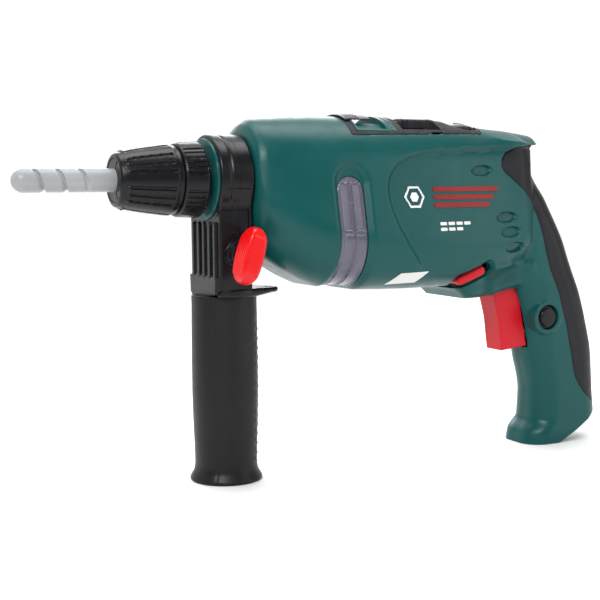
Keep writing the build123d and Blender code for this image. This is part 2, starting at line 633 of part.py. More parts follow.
clamp_outline = [
    (-CLAMP_HALF[0], AXIS_Z),
    (-CLAMP_HALF[1], GUARD_Z - 2),
    (CLAMP_HALF[1], GUARD_Z - 2),
    (CLAMP_HALF[0], AXIS_Z),
]
wing_xz = (HANDLE_X, WING_Z)
wing_boss = side_rod(wing_xz, 6.3, (-WING_BOSS_Y, -10))
stud_bore = side_rod(wing_xz, WING_STUD_R + FIT, (-40, -4))
with BuildPart() as bolt:
    with BuildSketch(Plane.XY.offset(BOLT_Z[0])):
        with Locations((HANDLE_X, 0)):
            Circle(BOLT_R)
    extrude(amount=BOLT_Z[1] - BOLT_Z[0])
with BuildPart() as clamp:  # collar round the neck, and the block under it
    with BuildSketch(across(CLAMP_X[0])):
        with Locations((0, AXIS_Z)):
            Circle(CLAMP_R)
        with BuildLine():
            Polyline(*clamp_outline, close=True)
        make_face()
        with Locations((0, AXIS_Z)):
            Circle(NECK_R + FIT, mode=Mode.SUBTRACT)
    extrude(amount=CLAMP_X[1] - CLAMP_X[0])
    add(wing_boss)
    with BuildSketch(guard_plane.offset(-20)):
        Rectangle(60, 60)
    extrude(amount=20 + GUARD_T / 2, mode=Mode.SUBTRACT)
    add(stud_bore, mode=Mode.SUBTRACT)
    add(bolt.part, mode=Mode.SUBTRACT)
with BuildPart() as clamp_front:
    add(clamp.part)
    split(bisect_by=across(HANDLE_X), keep=Keep.BOTTOM)
with BuildPart() as clamp_rear:
    add(clamp.part)
    split(bisect_by=across(HANDLE_X), keep=Keep.TOP)
with BuildPart() as handle_bolt:
    add(bolt.part)

with BuildPart() as side_grip:
    with BuildSketch(Plane.XZ):
        with BuildLine():
            Polyline(*[(HANDLE_X + r, z) for r, z in SIDE_GRIP], close=True)
        make_face()
    revolve(axis=Axis((HANDLE_X, 0, 0), (0, 0, 1)))
    with BuildSketch(guard_plane.offset(-GUARD_T / 2)):
        Rectangle(60, 60)
    extrude(amount=20, mode=Mode.SUBTRACT)
    add(bolt.part, mode=Mode.SUBTRACT)

wing_hub = side_rod(wing_xz, 5.2, (-WING_BOSS_Y - 3.0, -WING_BOSS_Y - 0.3))
with BuildPart() as wing_knob:  # flat thumb blade on a hub
    add(wing_hub)
    with BuildSketch(side(-WING_BOSS_Y - 2.0)):
        with Locations(Location((HANDLE_X, WING_Z, 0), -WING_TILT)):
            Ellipse(WING_SIZE[0] / 2, WING_SIZE[1] / 2)
    extrude(amount=WING_OUT - WING_BOSS_Y - 2.0)
with BuildPart() as wing_stud:
    add(side_rod(wing_xz, WING_STUD_R, (-WING_BOSS_Y - 0.3, -5)))

# ---------------------------------------------------------------- trigger, lock and switches
with BuildPart() as trigger:
    add(side_bar(TRIGGER, (-TRIGGER_HALF, TRIGGER_HALF)))
    fillet(trigger.edges().filter_by(Axis.Y).sort_by(Axis.X)[0], radius=3.0)
with BuildPart() as trigger_switch:
    add(block(*SWITCH))
spring_start = (TRIGGER_SPRING_X[0], 0, TRIGGER_SPRING_Z)
spring_length = TRIGGER_SPRING_X[1] - TRIGGER_SPRING_X[0]
trigger_coil = coil(spring_start, (1, 0, 0), spring_length, 2.6, 0.35, 6)
with BuildPart() as trigger_spring:
    add(trigger_coil)

flange_y = (LOCK_INNER_Y + 0.3, LOCK_INNER_Y + 0.9)
with BuildPart() as lock_button:
    add(side_rod(LOCK_XZ, LOCK_R, (LOCK_FACE_Y, flange_y[0])))
    add(side_rod(LOCK_XZ, LOCK_FLANGE_R, flange_y))
lock_start = (LOCK_XZ[0], flange_y[1] + 0.35, LOCK_XZ[1])
lock_coil = coil(lock_start, (0, 1, 0), LOCK_SEAT_Y - flange_y[1] - 0.7, 2.3, 0.3, 5)
with BuildPart() as lock_spring:
    add(lock_coil)

tilt = radians(DIRECTION_TILT)
bar_offset = DIRECTION_TRAVEL / 2
bar_xz = (DIRECTION_XZ[0] - bar_offset * cos(tilt), DIRECTION_XZ[1] - bar_offset * sin(tilt))
with BuildPart() as direction_switch:
    add(side_slot(bar_xz, DIRECTION_BAR, DIRECTION_TILT, DIRECTION_Y))

# ---------------------------------------------------------------- top controls
with BuildPart() as gear_slider:
    add(block(SLIDER_X, (-SLIDER_HALF, SLIDER_HALF), SLIDER_Z))
    chamfer(gear_slider.edges().filter_by(Axis.Y).group_by(Axis.Z)[-1].sort_by(Axis.X)[0], length=2.0)
with BuildPart() as mode_knob:
    add(block(KNOB_X, (-KNOB_HALF, KNOB_HALF), KNOB_Z))
    chamfer(mode_knob.edges().filter_by(Axis.Y).group_by(Axis.Z)[-1].sort_by(Axis.X)[0], length=3.0)
    rib_x = [KNOB_X[0] + 6 + 2 * step for step in range(5)]
    for x in rib_x:
        with BuildSketch(Plane.XY.offset(KNOB_Z[1] - 0.8)):
            with Locations((x, 0)):
                Rectangle(0.8, 2 * KNOB_HALF + 1)
        extrude(amount=1, mode=Mode.SUBTRACT)
with BuildPart() as speed_dial:
    with BuildSketch(Plane.XY.offset(DIAL_Z[0])):
        with Locations((DIAL_X, 0)):
            Circle(DIAL_R)
    extrude(amount=DIAL_Z[1] - DIAL_Z[0])
    chamfer(speed_dial.edges().group_by(Axis.Z)[-1], length=0.8)

# ---------------------------------------------------------------- electrics and fasteners
with BuildPart() as circuit_board:
    add(block(*BOARD))
    add(block(*CHIP))
    add(side_rod(BUZZER_XZ, 2.5, (-12, -6)))
with BuildPart() as speaker:
    add(side_rod(SPEAKER_XZ, 10.0, (-14, -11.5)))
    add(side_rod(SPEAKER_XZ, 5.0, (-11.5, -7.5)))
with BuildPart() as window_led:
    add(side_rod((window_mid, LED_Z), 2.5, (-18, -9)))
    add(side_rod((window_mid, LED_Z), 3.0, (-9, -8)))
with BuildPart() as case_screws:
    for screw in SCREWS:
        add(side_rod(screw, SCREW_R, (-8, SCREW_HEAD_Y)))
        add(side_rod(screw, SCREW_HEAD_R, (SCREW_HEAD_Y, SCREW_HEAD_Y + 1.6)))

# ---------------------------------------------------------------- export
PIECES = {
    "left_shell": left_shell,
    "right_shell": right_shell,
    "rear_grip": rear_grip,
    "top_panel": top_panel,
    "light_window": light_window,
    "battery_cover": battery_cover,
    "cover_screw": cover_screw,
    "battery_tray": battery_tray,
    "battery_contacts": battery_contacts,
    "gearbox_front_plate": gearbox_front_plate,
    "gearbox_rear_plate": gearbox_rear_plate,
    "gearbox_posts": gearbox_posts,
    "spindle_front_bush": spindle_front_bush,
    "spindle_rear_bush": spindle_rear_bush,
    "idler_pin": idler_pin,
    "output_gear": output_gear,
    "idler_gear": idler_gear,
    "motor_pinion": motor_pinion,
    "motor_can": motor_can,
    "motor_magnets": motor_magnets,
    "motor_end_cap": motor_end_cap,
    "motor_shaft": motor_shaft,
    "motor_armature": motor_armature,
    "spindle_shaft": spindle_shaft,
    "chuck_core": chuck_core,
    "chuck_sleeve": chuck_sleeve,
    "chuck_ring": chuck_ring,
    "drill_bit": drill_bit,
    "hand_guard": hand_guard,
    "clamp_front": clamp_front,
    "clamp_rear": clamp_rear,
    "side_grip": side_grip,
    "handle_bolt": handle_bolt,
    "wing_knob": wing_knob,
    "wing_stud": wing_stud,
    "trigger": trigger,
    "trigger_spring": trigger_spring,
    "trigger_switch": trigger_switch,
    "lock_button": lock_button,
    "lock_spring": lock_spring,
    "direction_switch": direction_switch,
    "gear_slider": gear_slider,
    "mode_knob": mode_knob,
    "speed_dial": speed_dial,
    "circuit_board": circuit_board,
    "speaker": speaker,
    "window_led": window_led,
    "case_screws": case_screws,
}
for cell, cell_name in cells:
    PIECES[cell_name] = cell
for piece_name, piece in PIECES.items():
    save(piece, piece_name)
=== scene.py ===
import json
import math

import bpy
import numpy as np
from mathutils import Matrix, Vector


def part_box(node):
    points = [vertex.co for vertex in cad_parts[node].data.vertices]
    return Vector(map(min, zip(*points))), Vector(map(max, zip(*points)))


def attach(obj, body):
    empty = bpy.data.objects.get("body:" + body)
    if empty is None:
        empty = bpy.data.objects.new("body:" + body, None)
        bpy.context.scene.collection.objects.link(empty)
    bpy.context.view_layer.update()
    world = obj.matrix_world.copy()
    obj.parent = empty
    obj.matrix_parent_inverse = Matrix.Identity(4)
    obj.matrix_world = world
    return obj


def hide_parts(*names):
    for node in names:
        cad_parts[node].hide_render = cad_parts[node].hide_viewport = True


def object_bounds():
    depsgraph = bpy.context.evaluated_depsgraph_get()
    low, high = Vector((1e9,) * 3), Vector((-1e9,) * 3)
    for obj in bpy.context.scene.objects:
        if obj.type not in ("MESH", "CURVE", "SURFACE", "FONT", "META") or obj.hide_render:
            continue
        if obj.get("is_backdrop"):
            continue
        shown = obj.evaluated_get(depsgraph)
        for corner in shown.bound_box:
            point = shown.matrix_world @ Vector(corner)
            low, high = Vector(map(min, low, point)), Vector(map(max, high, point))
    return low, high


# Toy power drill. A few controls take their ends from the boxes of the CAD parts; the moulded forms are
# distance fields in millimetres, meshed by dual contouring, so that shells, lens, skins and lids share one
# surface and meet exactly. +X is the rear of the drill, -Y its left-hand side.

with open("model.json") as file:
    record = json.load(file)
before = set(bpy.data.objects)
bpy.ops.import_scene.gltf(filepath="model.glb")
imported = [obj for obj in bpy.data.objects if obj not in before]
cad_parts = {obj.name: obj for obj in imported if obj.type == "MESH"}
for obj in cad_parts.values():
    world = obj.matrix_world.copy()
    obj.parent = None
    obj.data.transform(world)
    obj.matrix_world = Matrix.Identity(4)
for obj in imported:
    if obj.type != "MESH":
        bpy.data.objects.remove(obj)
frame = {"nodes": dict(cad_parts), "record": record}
cad_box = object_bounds()
MM = 0.001
SPRING_ROOM = 0.3  # round a spring, in the lever or cap that moves over it
COARSE = 1.0


# ---------------------------------------------------------------- distance-field helpers
def smin(a, b, k):
    """Union of two fields with a fillet of about k."""
    h = np.clip(0.5 + 0.5 * (b - a) / k, 0, 1)
    return b + (a - b) * h - k * h * (1 - h)


def smax(a, b, k):
    """Intersection of two fields with an edge round of about k."""
    return -smin(-a, -b, k)


def ramp(t):
    t = np.clip(t, 0, 1)
    return t * t * (3 - 2 * t)


def ridge(distance, width):
    """1 on a line, falling smoothly to 0 about a width away."""
    return np.exp(-((distance / width) ** 2))


def box2(u, v, half_u, half_v, r):
    a, b = np.abs(u) - half_u + r, np.abs(v) - half_v + r
    return np.hypot(np.maximum(a, 0), np.maximum(b, 0)) + np.minimum(np.maximum(a, b), 0) - r


def slab(value, low, high):
    return np.maximum(low - value, value - high)


def capsule2(u, v, a, b, r):
    du, dv = b[0] - a[0], b[1] - a[1]
    t = np.clip(((u - a[0]) * du + (v - a[1]) * dv) / (du * du + dv * dv), 0, 1)
    return np.hypot(u - a[0] - t * du, v - a[1] - t * dv) - r


def taper2(u, v, a, b, ra, rb):
    """Hull of two circles, whose centres and radii may vary over the grid."""
    du, dv = b[0] - a[0], b[1] - a[1]
    length = np.hypot(du, dv)
    pu, pv = u - a[0], v - a[1]
    along = (pu * du + pv * dv) / length
    off = np.abs(pu * dv - pv * du) / length
    k = (ra - rb) / length
    c = np.sqrt(np.maximum(1 - k * k, 1e-9))
    t = c * along - k * off
    side = c * off + k * along - ra
    end = np.where(t > c * length, np.hypot(off, along - length) - rb, side)
    return np.where(t < 0, np.hypot(off, along) - ra, end)


def polygon2(u, v, points):
    """Signed distance to a closed outline, negative inside."""
    points = np.asarray(points, float)
    shape = np.broadcast(u, v).shape
    square = np.full(shape, 1e9)
    inside = np.zeros(shape, bool)
    for i in range(len(points)):
        a, b = points[i - 1], points[i]
        eu, ev = b - a
        wu, wv = u - a[0], v - a[1]
        t = np.clip((wu * eu + wv * ev) / (eu * eu + ev * ev), 0, 1)
        square = np.minimum(square, (wu - eu * t) ** 2 + (wv - ev * t) ** 2)
        if ev:
            crosses = (a[1] > v) != (b[1] > v)
            inside ^= crosses & (u < a[0] + eu * wv / ev)
    return np.where(inside, -1, 1) * np.sqrt(square)


def rows(table, s):
    """The columns of a table, interpolated smoothly by its first column."""
    t = np.asarray(table, float)
    x, y = t[:, 0], t[:, 1:]
    h = np.diff(x)
    m = np.diff(y, axis=0) / h[:, None]
    total = np.where(m[:-1] + m[1:] == 0, 1, m[:-1] + m[1:])
    slope = np.zeros_like(y)
    slope[1:-1] = np.where(m[:-1] * m[1:] > 0, 2 * m[:-1] * m[1:] / total, 0)
    slope[0], slope[-1] = m[0], m[-1]
    i = np.clip(np.searchsorted(x, s) - 1, 0, len(x) - 2)
    u = np.clip((s - x[i]) / h[i], 0, 1)
    out = []
    for c in range(y.shape[1]):
        start = y[i, c] * (1 + 2 * u) + slope[i, c] * h[i] * u
        end = y[i + 1, c] * (3 - 2 * u) - slope[i + 1, c] * h[i] * (1 - u)
        out.append(start * (1 - u) ** 2 + end * u * u)
    return out


def turned(u, v, centre, degrees):
    """Coordinates about a centre, turned by an angle."""
    c, s = math.cos(math.radians(degrees)), math.sin(math.radians(degrees))
    du, dv = u - centre[0], v - centre[1]
    return du * c + dv * s, dv * c - du * s


# ---------------------------------------------------------------- meshing
def crossings(field, values, low, step, axis):
    """Where the surface crosses the grid lines along one axis, and the cells round each crossing."""
    inside = values < 0
    first = np.take(inside, range(inside.shape[axis] - 1), axis)
    second = np.take(inside, range(1, inside.shape[axis]), axis)
    index = np.argwhere(first != second)
    across = [a for a in range(3) if a != axis]
    for a in across:
        index = index[(index[:, a] > 0) & (index[:, a] < values.shape[a] - 1)]
    after = index.copy()
    after[:, axis] += 1
    v0, v1 = values[tuple(index.T)], values[tuple(after.T)]
    start = low + step * index
    t0, t1 = np.zeros(len(index)), np.ones(len(index))
    t = np.clip(v0 / (v0 - v1), 0.01, 0.99)
    for _ in range(3):
        point = start.copy()
        point[:, axis] += t * step
        v = field(*point.T)
        same = (v < 0) == (v0 < 0)
        t0, t1 = np.where(same, t, t0), np.where(same, t1, t)
        v0, v1 = np.where(same, v, v0), np.where(same, v1, v)
        t = t0 + (t1 - t0) * np.clip(v0 / np.where(v0 == v1, 1, v0 - v1), 0.05, 0.95)
    point = start.copy()
    point[:, axis] += t * step
    cells = []
    for a, b in ((-1, -1), (0, -1), (0, 0), (-1, 0)):
        cell = index.copy()
        cell[:, across[0]] += a
        cell[:, across[1]] += b
        cells.append(cell)
    leaves = first[tuple(index.T)]
    forward = leaves if axis != 1 else ~leaves
    return point, np.stack(cells, 1), forward


def contour(field, low, high, step):
    """Vertices and quads of a field's surface by dual contouring, which keeps its sharp edges."""
    low, high = np.array(low, float), np.array(high, float)
    count = np.ceil((high - low) / step).astype(int) + 1
    lines = [low[a] + step * np.arange(count[a]) for a in range(3)]
    values = np.empty(count)
    chunk = max(1, int(600000 / (count[1] * count[2])))
    for i in range(0, count[0], chunk):
        x, y, z = np.meshgrid(lines[0][i:i + chunk], lines[1], lines[2], indexing="ij", sparse=True)
        values[i:i + chunk] = field(x, y, z)
    points, quads = [], []
    size = count - 1
    for axis in range(3):
        point, cell, forward = crossings(field, values, low, step, axis)
        number = (cell[..., 0] * size[1] + cell[..., 1]) * size[2] + cell[..., 2]
        quads.append(np.where(forward[:, None], number, number[:, ::-1]))
        points.append(point)
    point, quad = np.concatenate(points), np.concatenate(quads)
    tiny = 0.02
    normal = [field(*(point + tiny * e).T) - field(*(point - tiny * e).T) for e in np.eye(3)]
    normal = np.stack(normal, 1)
    normal /= np.maximum(np.linalg.norm(normal, axis=1), 1e-9)[:, None]
    used, flat = np.unique(quad, return_inverse=True)
    flat = flat.reshape(-1)
    total = len(used)
    owner = np.repeat(np.arange(len(point)), 4)
    near, face = point[owner], normal[owner]
    amount = np.bincount(flat, minlength=total)
    mean = np.stack([np.bincount(flat, near[:, a], total) for a in range(3)], 1) / amount[:, None]
    offset = np.einsum("ij,ij->i", face, near - mean[flat])
    matrix, target = np.empty((total, 3, 3)), np.empty((total, 3))
    for a in range(3):
        target[:, a] = np.bincount(flat, face[:, a] * offset, total)
        for b in range(a, 3):
            matrix[:, a, b] = matrix[:, b, a] = np.bincount(flat, face[:, a] * face[:, b], total)
    matrix += np.eye(3) * (0.03 * amount)[:, None, None]
    shift = np.linalg.solve(matrix, target[:, :, None])[:, :, 0]
    corner = np.stack([used // (size[1] * size[2]), used // size[2] % size[1], used % size[2]], 1)
    centre = low + step * (corner + 0.5)
    vertices = np.clip(mean + shift, centre - 0.55 * step, centre + 0.55 * step)
    return vertices, flat.reshape(-1, 4)


def piece(name, body, material, field, low, high, step, replaces=(), slot=None, sharp=38.0):
    """Meshes a field and sets the result up as a piece of the drill."""
    vertices, quads = contour(field, low, high, step * COARSE)
    mesh = bpy.data.meshes.new(name)
    mesh.vertices.add(len(vertices))
    mesh.vertices.foreach_set("co", (vertices * MM).ravel())
    mesh.loops.add(quads.size)
    mesh.loops.foreach_set("vertex_index", quads.ravel())
    mesh.polygons.add(len(quads))
    mesh.polygons.foreach_set("loop_start", np.arange(0, quads.size, 4))
    mesh.update(calc_edges=True)
    mesh.validate()
    mesh.polygons.foreach_set("use_smooth", np.ones(len(mesh.polygons), bool))
    mesh.set_sharp_from_angle(angle=math.radians(sharp))
    mesh.materials.append(material)
    thing = bpy.data.objects.new(name, mesh)
    bpy.context.scene.collection.objects.link(thing)
    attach(thing, body)
    if replaces:
        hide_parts(*replaces)
    slot or material["slot"]
    return thing


# ---------------------------------------------------------------- materials
def new_material(name, slot):
    material = bpy.data.materials.new(name)
    material.use_nodes = True
    material["slot"] = slot
    tree = material.node_tree
    return material, tree, tree.nodes["Principled BSDF"]


def noise(tree, scale, detail=3.0, stretch=(1, 1, 1)):
    """Noise in the object's own coordinates, in metres."""
    place = tree.nodes.new("ShaderNodeTexCoord")
    mapping = tree.nodes.new("ShaderNodeMapping")
    mapping.inputs["Scale"].default_value = stretch
    texture = tree.nodes.new("ShaderNodeTexNoise")
    texture.inputs["Scale"].default_value = scale
    texture.inputs["Detail"].default_value = detail
    tree.links.new(place.outputs["Object"], mapping.inputs["Vector"])
    tree.links.new(mapping.outputs["Vector"], texture.inputs["Vector"])
    return texture.outputs["Fac"]


def spread(tree, value, low, high):
    """Maps a noise value to a range."""
    node = tree.nodes.new("ShaderNodeMapRange")
    node.inputs["From Min"].default_value = 0.3
    node.inputs["From Max"].default_value = 0.7
    node.inputs["To Min"].default_value = low
    node.inputs["To Max"].default_value = high
    tree.links.new(value, node.inputs["Value"])
    return node.outputs["Result"]


def tint(tree, value, colour, change):
    """A colour that varies a little, lighter and darker, with a noise value."""
    node = tree.nodes.new("ShaderNodeValToRGB")
    for element, share in zip(node.color_ramp.elements, (1 - change, 1 + change)):
        element.color = [c * share for c in colour] + [1]
    node.color_ramp.elements[0].position = 0.3
    node.color_ramp.elements[1].position = 0.7
    tree.links.new(value, node.inputs["Fac"])
    return node.outputs["Color"]


def bump(tree, value, strength, distance, after=None):
    node = tree.nodes.new("ShaderNodeBump")
    node.inputs["Strength"].default_value = strength
    node.inputs["Distance"].default_value = distance
    tree.links.new(value, node.inputs["Height"])
    if after is not None:
        tree.links.new(after, node.inputs["Normal"])
    return node.outputs["Normal"]


def moulded(name, slot, colour, roughness, grain, depth, change=0.08, coat=0.0):
    """Moulded plastic: a fine mould texture, flow waves and slightly uneven gloss."""
    material, tree, shader = new_material(name, slot)
    shader.inputs["IOR"].default_value = 1.5
    shader.inputs["Specular IOR Level"].default_value = 0.22
    shader.inputs["Coat Weight"].default_value = coat
    shader.inputs["Coat Roughness"].default_value = 0.12
    tree.links.new(tint(tree, noise(tree, 34, 4), colour, change), shader.inputs["Base Color"])
    gloss = spread(tree, noise(tree, 160, 5), roughness - 0.05, roughness + 0.06)
    tree.links.new(gloss, shader.inputs["Roughness"])
    waves = bump(tree, noise(tree, 45, 1), 0.25, 0.0004)
    texture = bump(tree, noise(tree, grain, 2), 0.5, depth, waves)
    tree.links.new(texture, shader.inputs["Normal"])
    return material


def metal(name, slot, colour, roughness, stretch=(1, 14, 14)):
    """Drawn or turned metal with fine lines along one direction."""
    material, tree, shader = new_material(name, slot)
    shader.inputs["Metallic"].default_value = 1.0
    lines = noise(tree, 420, 4, stretch)
    tree.links.new(tint(tree, noise(tree, 60, 3), colour, 0.12), shader.inputs["Base Color"])
    gloss = spread(tree, lines, roughness - 0.08, roughness + 0.1)
    tree.links.new(gloss, shader.inputs["Roughness"])
    tree.links.new(bump(tree, lines, 0.35, 0.00006), shader.inputs["Normal"])
    return material


def winding():
    """Enamelled copper wire laid side by side."""
    material, tree, shader = new_material("copper_winding", "copper")
    shader.inputs["Metallic"].default_value = 0.9
    place = tree.nodes.new("ShaderNodeTexCoord")
    wave = tree.nodes.new("ShaderNodeTexWave")
    wave.bands_direction = "DIAGONAL"
    wave.inputs["Scale"].default_value = 900
    wave.inputs["Distortion"].default_value = 1.5
    tree.links.new(place.outputs["Object"], wave.inputs["Vector"])
    copper = tint(tree, wave.outputs["Fac"], (0.62, 0.27, 0.11), 0.3)
    tree.links.new(copper, shader.inputs["Base Color"])
    tree.links.new(spread(tree, noise(tree, 300), 0.25, 0.4), shader.inputs["Roughness"])
    tree.links.new(bump(tree, wave.outputs["Fac"], 0.6, 0.0002), shader.inputs["Normal"])
    return material


def smoked():
    """Smoky translucent lens, moulded thin, with faint flow marks."""
    material, tree, shader = new_material("smoked_lens", "smoked_lens")
    shader.inputs["IOR"].default_value = 1.49
    shader.inputs["Alpha"].default_value = 0.8
    shader.inputs["Coat Weight"].default_value = 0.4
    shader.inputs["Coat Roughness"].default_value = 0.08
    lens = tint(tree, noise(tree, 70, 3, (1, 1, 0.3)), (0.115, 0.108, 0.15), 0.22)
    tree.links.new(lens, shader.inputs["Base Color"])
    tree.links.new(spread(tree, noise(tree, 240, 4), 0.14, 0.24), shader.inputs["Roughness"])
    tree.links.new(bump(tree, noise(tree, 90, 2), 0.2, 0.0003), shader.inputs["Normal"])
    return material


def printed_board():
    """Green solder mask over copper tracks."""
    material, tree, shader = new_material("board_mask", "board")
    place = tree.nodes.new("ShaderNodeTexCoord")
    tracks = tree.nodes.new("ShaderNodeTexBrick")
    tracks.inputs["Scale"].default_value = 260
    tracks.inputs["Color1"].default_value = (0.015, 0.13, 0.045, 1)
    tracks.inputs["Color2"].default_value = (0.02, 0.17, 0.06, 1)
    tracks.inputs["Mortar"].default_value = (0.05, 0.24, 0.1, 1)
    tree.links.new(place.outputs["Object"], tracks.inputs["Vector"])
    tree.links.new(tracks.outputs["Color"], shader.inputs["Base Color"])
    tree.links.new(spread(tree, noise(tree, 200), 0.3, 0.42), shader.inputs["Roughness"])
    tree.links.new(bump(tree, tracks.outputs["Fac"], 0.4, 0.00008), shader.inputs["Normal"])
    return material


GREEN = moulded("green_moulding", "green_plastic", (0.0022, 0.06, 0.058), 0.34, 1500, 0.00005)
BLACK = moulded("black_moulding", "black_plastic", (0.0055, 0.0055, 0.0068), 0.29, 1300, 0.00006, 0.15)
SOFT_BLACK = moulded("soft_grip", "black_grip", (0.0065, 0.0068, 0.0095), 0.42, 1900, 0.00009, 0.15)
HANDLE_BLACK = moulded("handle_grain", "black_grip", (0.0055, 0.0055, 0.0065), 0.44, 1500, 0.00016, 0.18)
PANEL_BLACK = moulded("panel_spark", "black_plastic", (0.0075, 0.007, 0.0085), 0.48, 1100, 0.00028, 0.2)
CONTROL = moulded("control_grey", "black_plastic", (0.02, 0.019, 0.025), 0.4, 1200, 0.00008, 0.12)
BIT_GREY = moulded("bit_grey", "grey_bit", (0.27, 0.28, 0.29), 0.34, 1400, 0.00004, 0.06, 0.15)
RED = moulded("red_moulding", "red_plastic", (0.46, 0.004, 0.012), 0.36, 1200, 0.00005, 0.07)
WING_RED = moulded("wing_red", "red_plastic", (0.6, 0.003, 0.004), 0.3, 700, 0.00018, 0.08, 0.2)
WHITE = moulded("white_gear", "white_plastic", (0.62, 0.62, 0.59), 0.4, 1300, 0.00004, 0.04)
RED_PRINT = moulded("red_print", "red_plastic", (0.2, 0.012, 0.012), 0.42, 900, 0.00006, 0.18)
WHITE_PRINT = moulded("white_print", "white_plastic", (0.64, 0.64, 0.63), 0.4, 900, 0.00003, 0.04)
BADGE = metal("badge_silver", "steel", (0.62, 0.63, 0.64), 0.28, (1, 1, 1))
FINISHES = {
    "green_plastic": GREEN,
    "black_plastic": BLACK,
    "black_grip": SOFT_BLACK,
    "grey_bit": BIT_GREY,
    "red_plastic": RED,
    "smoked_lens": smoked(),
    "white_plastic": WHITE,
    "steel": metal("steel_parts", "steel", (0.56, 0.57, 0.58), 0.3),
    "motor_steel": metal("motor_steel", "motor_steel", (0.48, 0.49, 0.5), 0.36, (1, 9, 9)),
    "magnet": moulded("ferrite", "magnet", (0.05, 0.05, 0.055), 0.6, 700, 0.00012),
    "copper": winding(),
    "cell": moulded("cell_sleeve", "cell", (0.05, 0.06, 0.07), 0.3, 1000, 0.00003, 0.1, 0.3),
    "board": printed_board(),
    "brass_bush": metal("sintered_bush", "brass_bush", (0.62, 0.46, 0.2), 0.42, (3, 3, 3)),
}
for subpart in frame["record"]["subparts"]:
    for holder in frame["nodes"][subpart["node"]].material_slots:
        holder.material = FINISHES[subpart["material_slot"]]


# ---------------------------------------------------------------- housing: the common outer form
AXIS = 137.0
# Barrel: x, top and bottom from the axis, half width, radius of the top, radius of the lower corners.
BARREL = [
    (-50.6, 21.6, 22.5, 21.4, 21.2, 20.6), (-48.5, 25.4, 28.0, 24.2, 22.4, 21.0),
    (-45.4, 27.3, 32.5, 26.2, 23.6, 21.2), (-38.0, 28.1, 38.0, 29.3, 25.0, 21.8),
    (-31.4, 28.5, 42.0, 31.2, 26.0, 22.4), (-22.6, 28.9, 46.6, 33.0, 27.2, 23.2),
    (-12.4, 29.2, 50.3, 34.0, 28.0, 24.0), (9.6, 29.3, 51.8, 34.4, 28.0, 24.0),
    (33.6, 28.8, 52.3, 34.0, 27.5, 23.5), (57.6, 27.3, 52.0, 31.0, 25.5, 21.0),
    (81.6, 24.8, 49.0, 27.0, 22.5, 18.0), (99.6, 23.2, 42.0, 23.5, 20.0, 15.5),
    (118.0, 20.5, 32.0, 20.5, 17.5, 13.0),
]
NOSE_X, NECK_X, NECK_R = -50.4, -67.8, 18.4
TAIL_A, TAIL_B = 20.0, 30.0  # plan ellipse of the barrel's rear end
CAP_Z, CAP_CENTRE, TAIL_CENTRE = 153.6, 90.8, 88.6
# Pistol grip: z, front x, rear x, half width, corner radius.
GRIP = [
    (0.0, 106.1, 151.0, 14.4, 10.5), (6.0, 107.6, 152.2, 15.2, 11.5), (13.0, 112.2, 152.8, 14.6, 12.0),
    (26.0, 112.6, 152.0, 14.2, 12.2), (45.0, 108.8, 150.6, 14.6, 12.6), (65.0, 105.1, 145.6, 15.6, 13.2),
    (85.0, 98.6, 138.6, 17.6, 14.6), (105.0, 89.6, 131.4, 20.0, 16.0), (125.0, 81.6, 120.6, 20.0, 16.5),
    (142.0, 79.6, 111.0, 19.0, 16.0), (154.0, 79.0, 111.2, 18.0, 15.0),
]
HOOD = [(54.6, 92.0), (57.0, 84.0), (62.6, 78.6), (84.6, 78.4), (104.0, 84.0), (106.0, 104.0), (54.6, 104.0)]
HOOD_HALF, HOOD_NARROW, HOOD_X = 21.0, 12.0, (64.0, 88.0)  # wide in front, narrow at the trigger
HEEL_START, HEEL_RISE = 127.5, 0.58
# Edge of the recessed side panel: the swoosh, then back to its far corners.
SWOOSH = [
    (72.0, 94.0), (48.0, 92.0), (30.0, 94.0), (25.6, 99.6), (20.0, 106.4), (15.4, 114.2), (12.4, 122.2),
    (11.2, 129.6), (11.6, 134.6), (13.6, 139.6), (17.6, 143.8), (23.6, 147.0), (31.0, 149.0),
    (42.0, 150.5), (61.0, 151.6), (80.0, 152.5), (110.0, 153.9), (125.0, 154.3), (175.0, 154.3),
    (175.0, 72.0), (112.0, 72.0), (104.0, 94.0),
]
SWOOSH_DEPTH, SWOOSH_EDGE = 2.4, 3.2
WALL, SKIN, JOIN = 2.5, 1.5, 0.12
VENTS = [(69.0, 140.7), (83.2, 118.0), (85.7, 110.8), (88.4, 103.2)]
VENT_HALF, VENT_TILT, VENT_DEPTH = (7.2, 2.9), 3.0, 1.7
WINDOW_X, WINDOW_TOP = (-14.4, -0.6), 138.4
RECESS_X, RECESS_TOP, RECESS_EDGE = (-17.0, 2.6), 144.8, 3.6
BAY_X, BAY_Z, BAY_OUT = (8.4, 63.6), (104.6, 152.8), 29.2
SCREWS = [(-36.4, 159.0), (79.6, 151.5), (-22.4, 97.5), (40.0, 96.5), (109.6, 93.0), (123.6, 22.0)]
LOCK_XZ, LOCK_RING_R, LOCK_RING_OUT, LOCK_HOLE_R = (114.8, 66.4), 8.7, 16.1, 6.4
DIRECTION_XZ, DIRECTION_TILT = (64.4, 90.9), 20.0
TRIGGER = [(87.3, 78.5), (92.9, 49.6), (108.6, 51.2), (103.2, 78.0), (99.6, 83.0), (88.6, 83.0)]
TRIGGER_HALF, TRIGGER_PULL = 6.7, 5.0


def barrel(x, y, z):
    top, bottom, half, top_r, low_r = rows(BARREL, x)
    across, top_z, low_z = np.abs(y), AXIS + top - top_r, AXIS - bottom + low_r
    flat = np.maximum(half - low_r, 0.01)
    side = taper2(across, z, (0, top_z), (flat, low_z), top_r, low_r)
    middle = np.where(z < low_z, low_z - low_r - z, np.where(z < top_z, -low_r + 0 * z, 1e9))
    return np.minimum(side, np.where(across < flat, middle, 1e9))


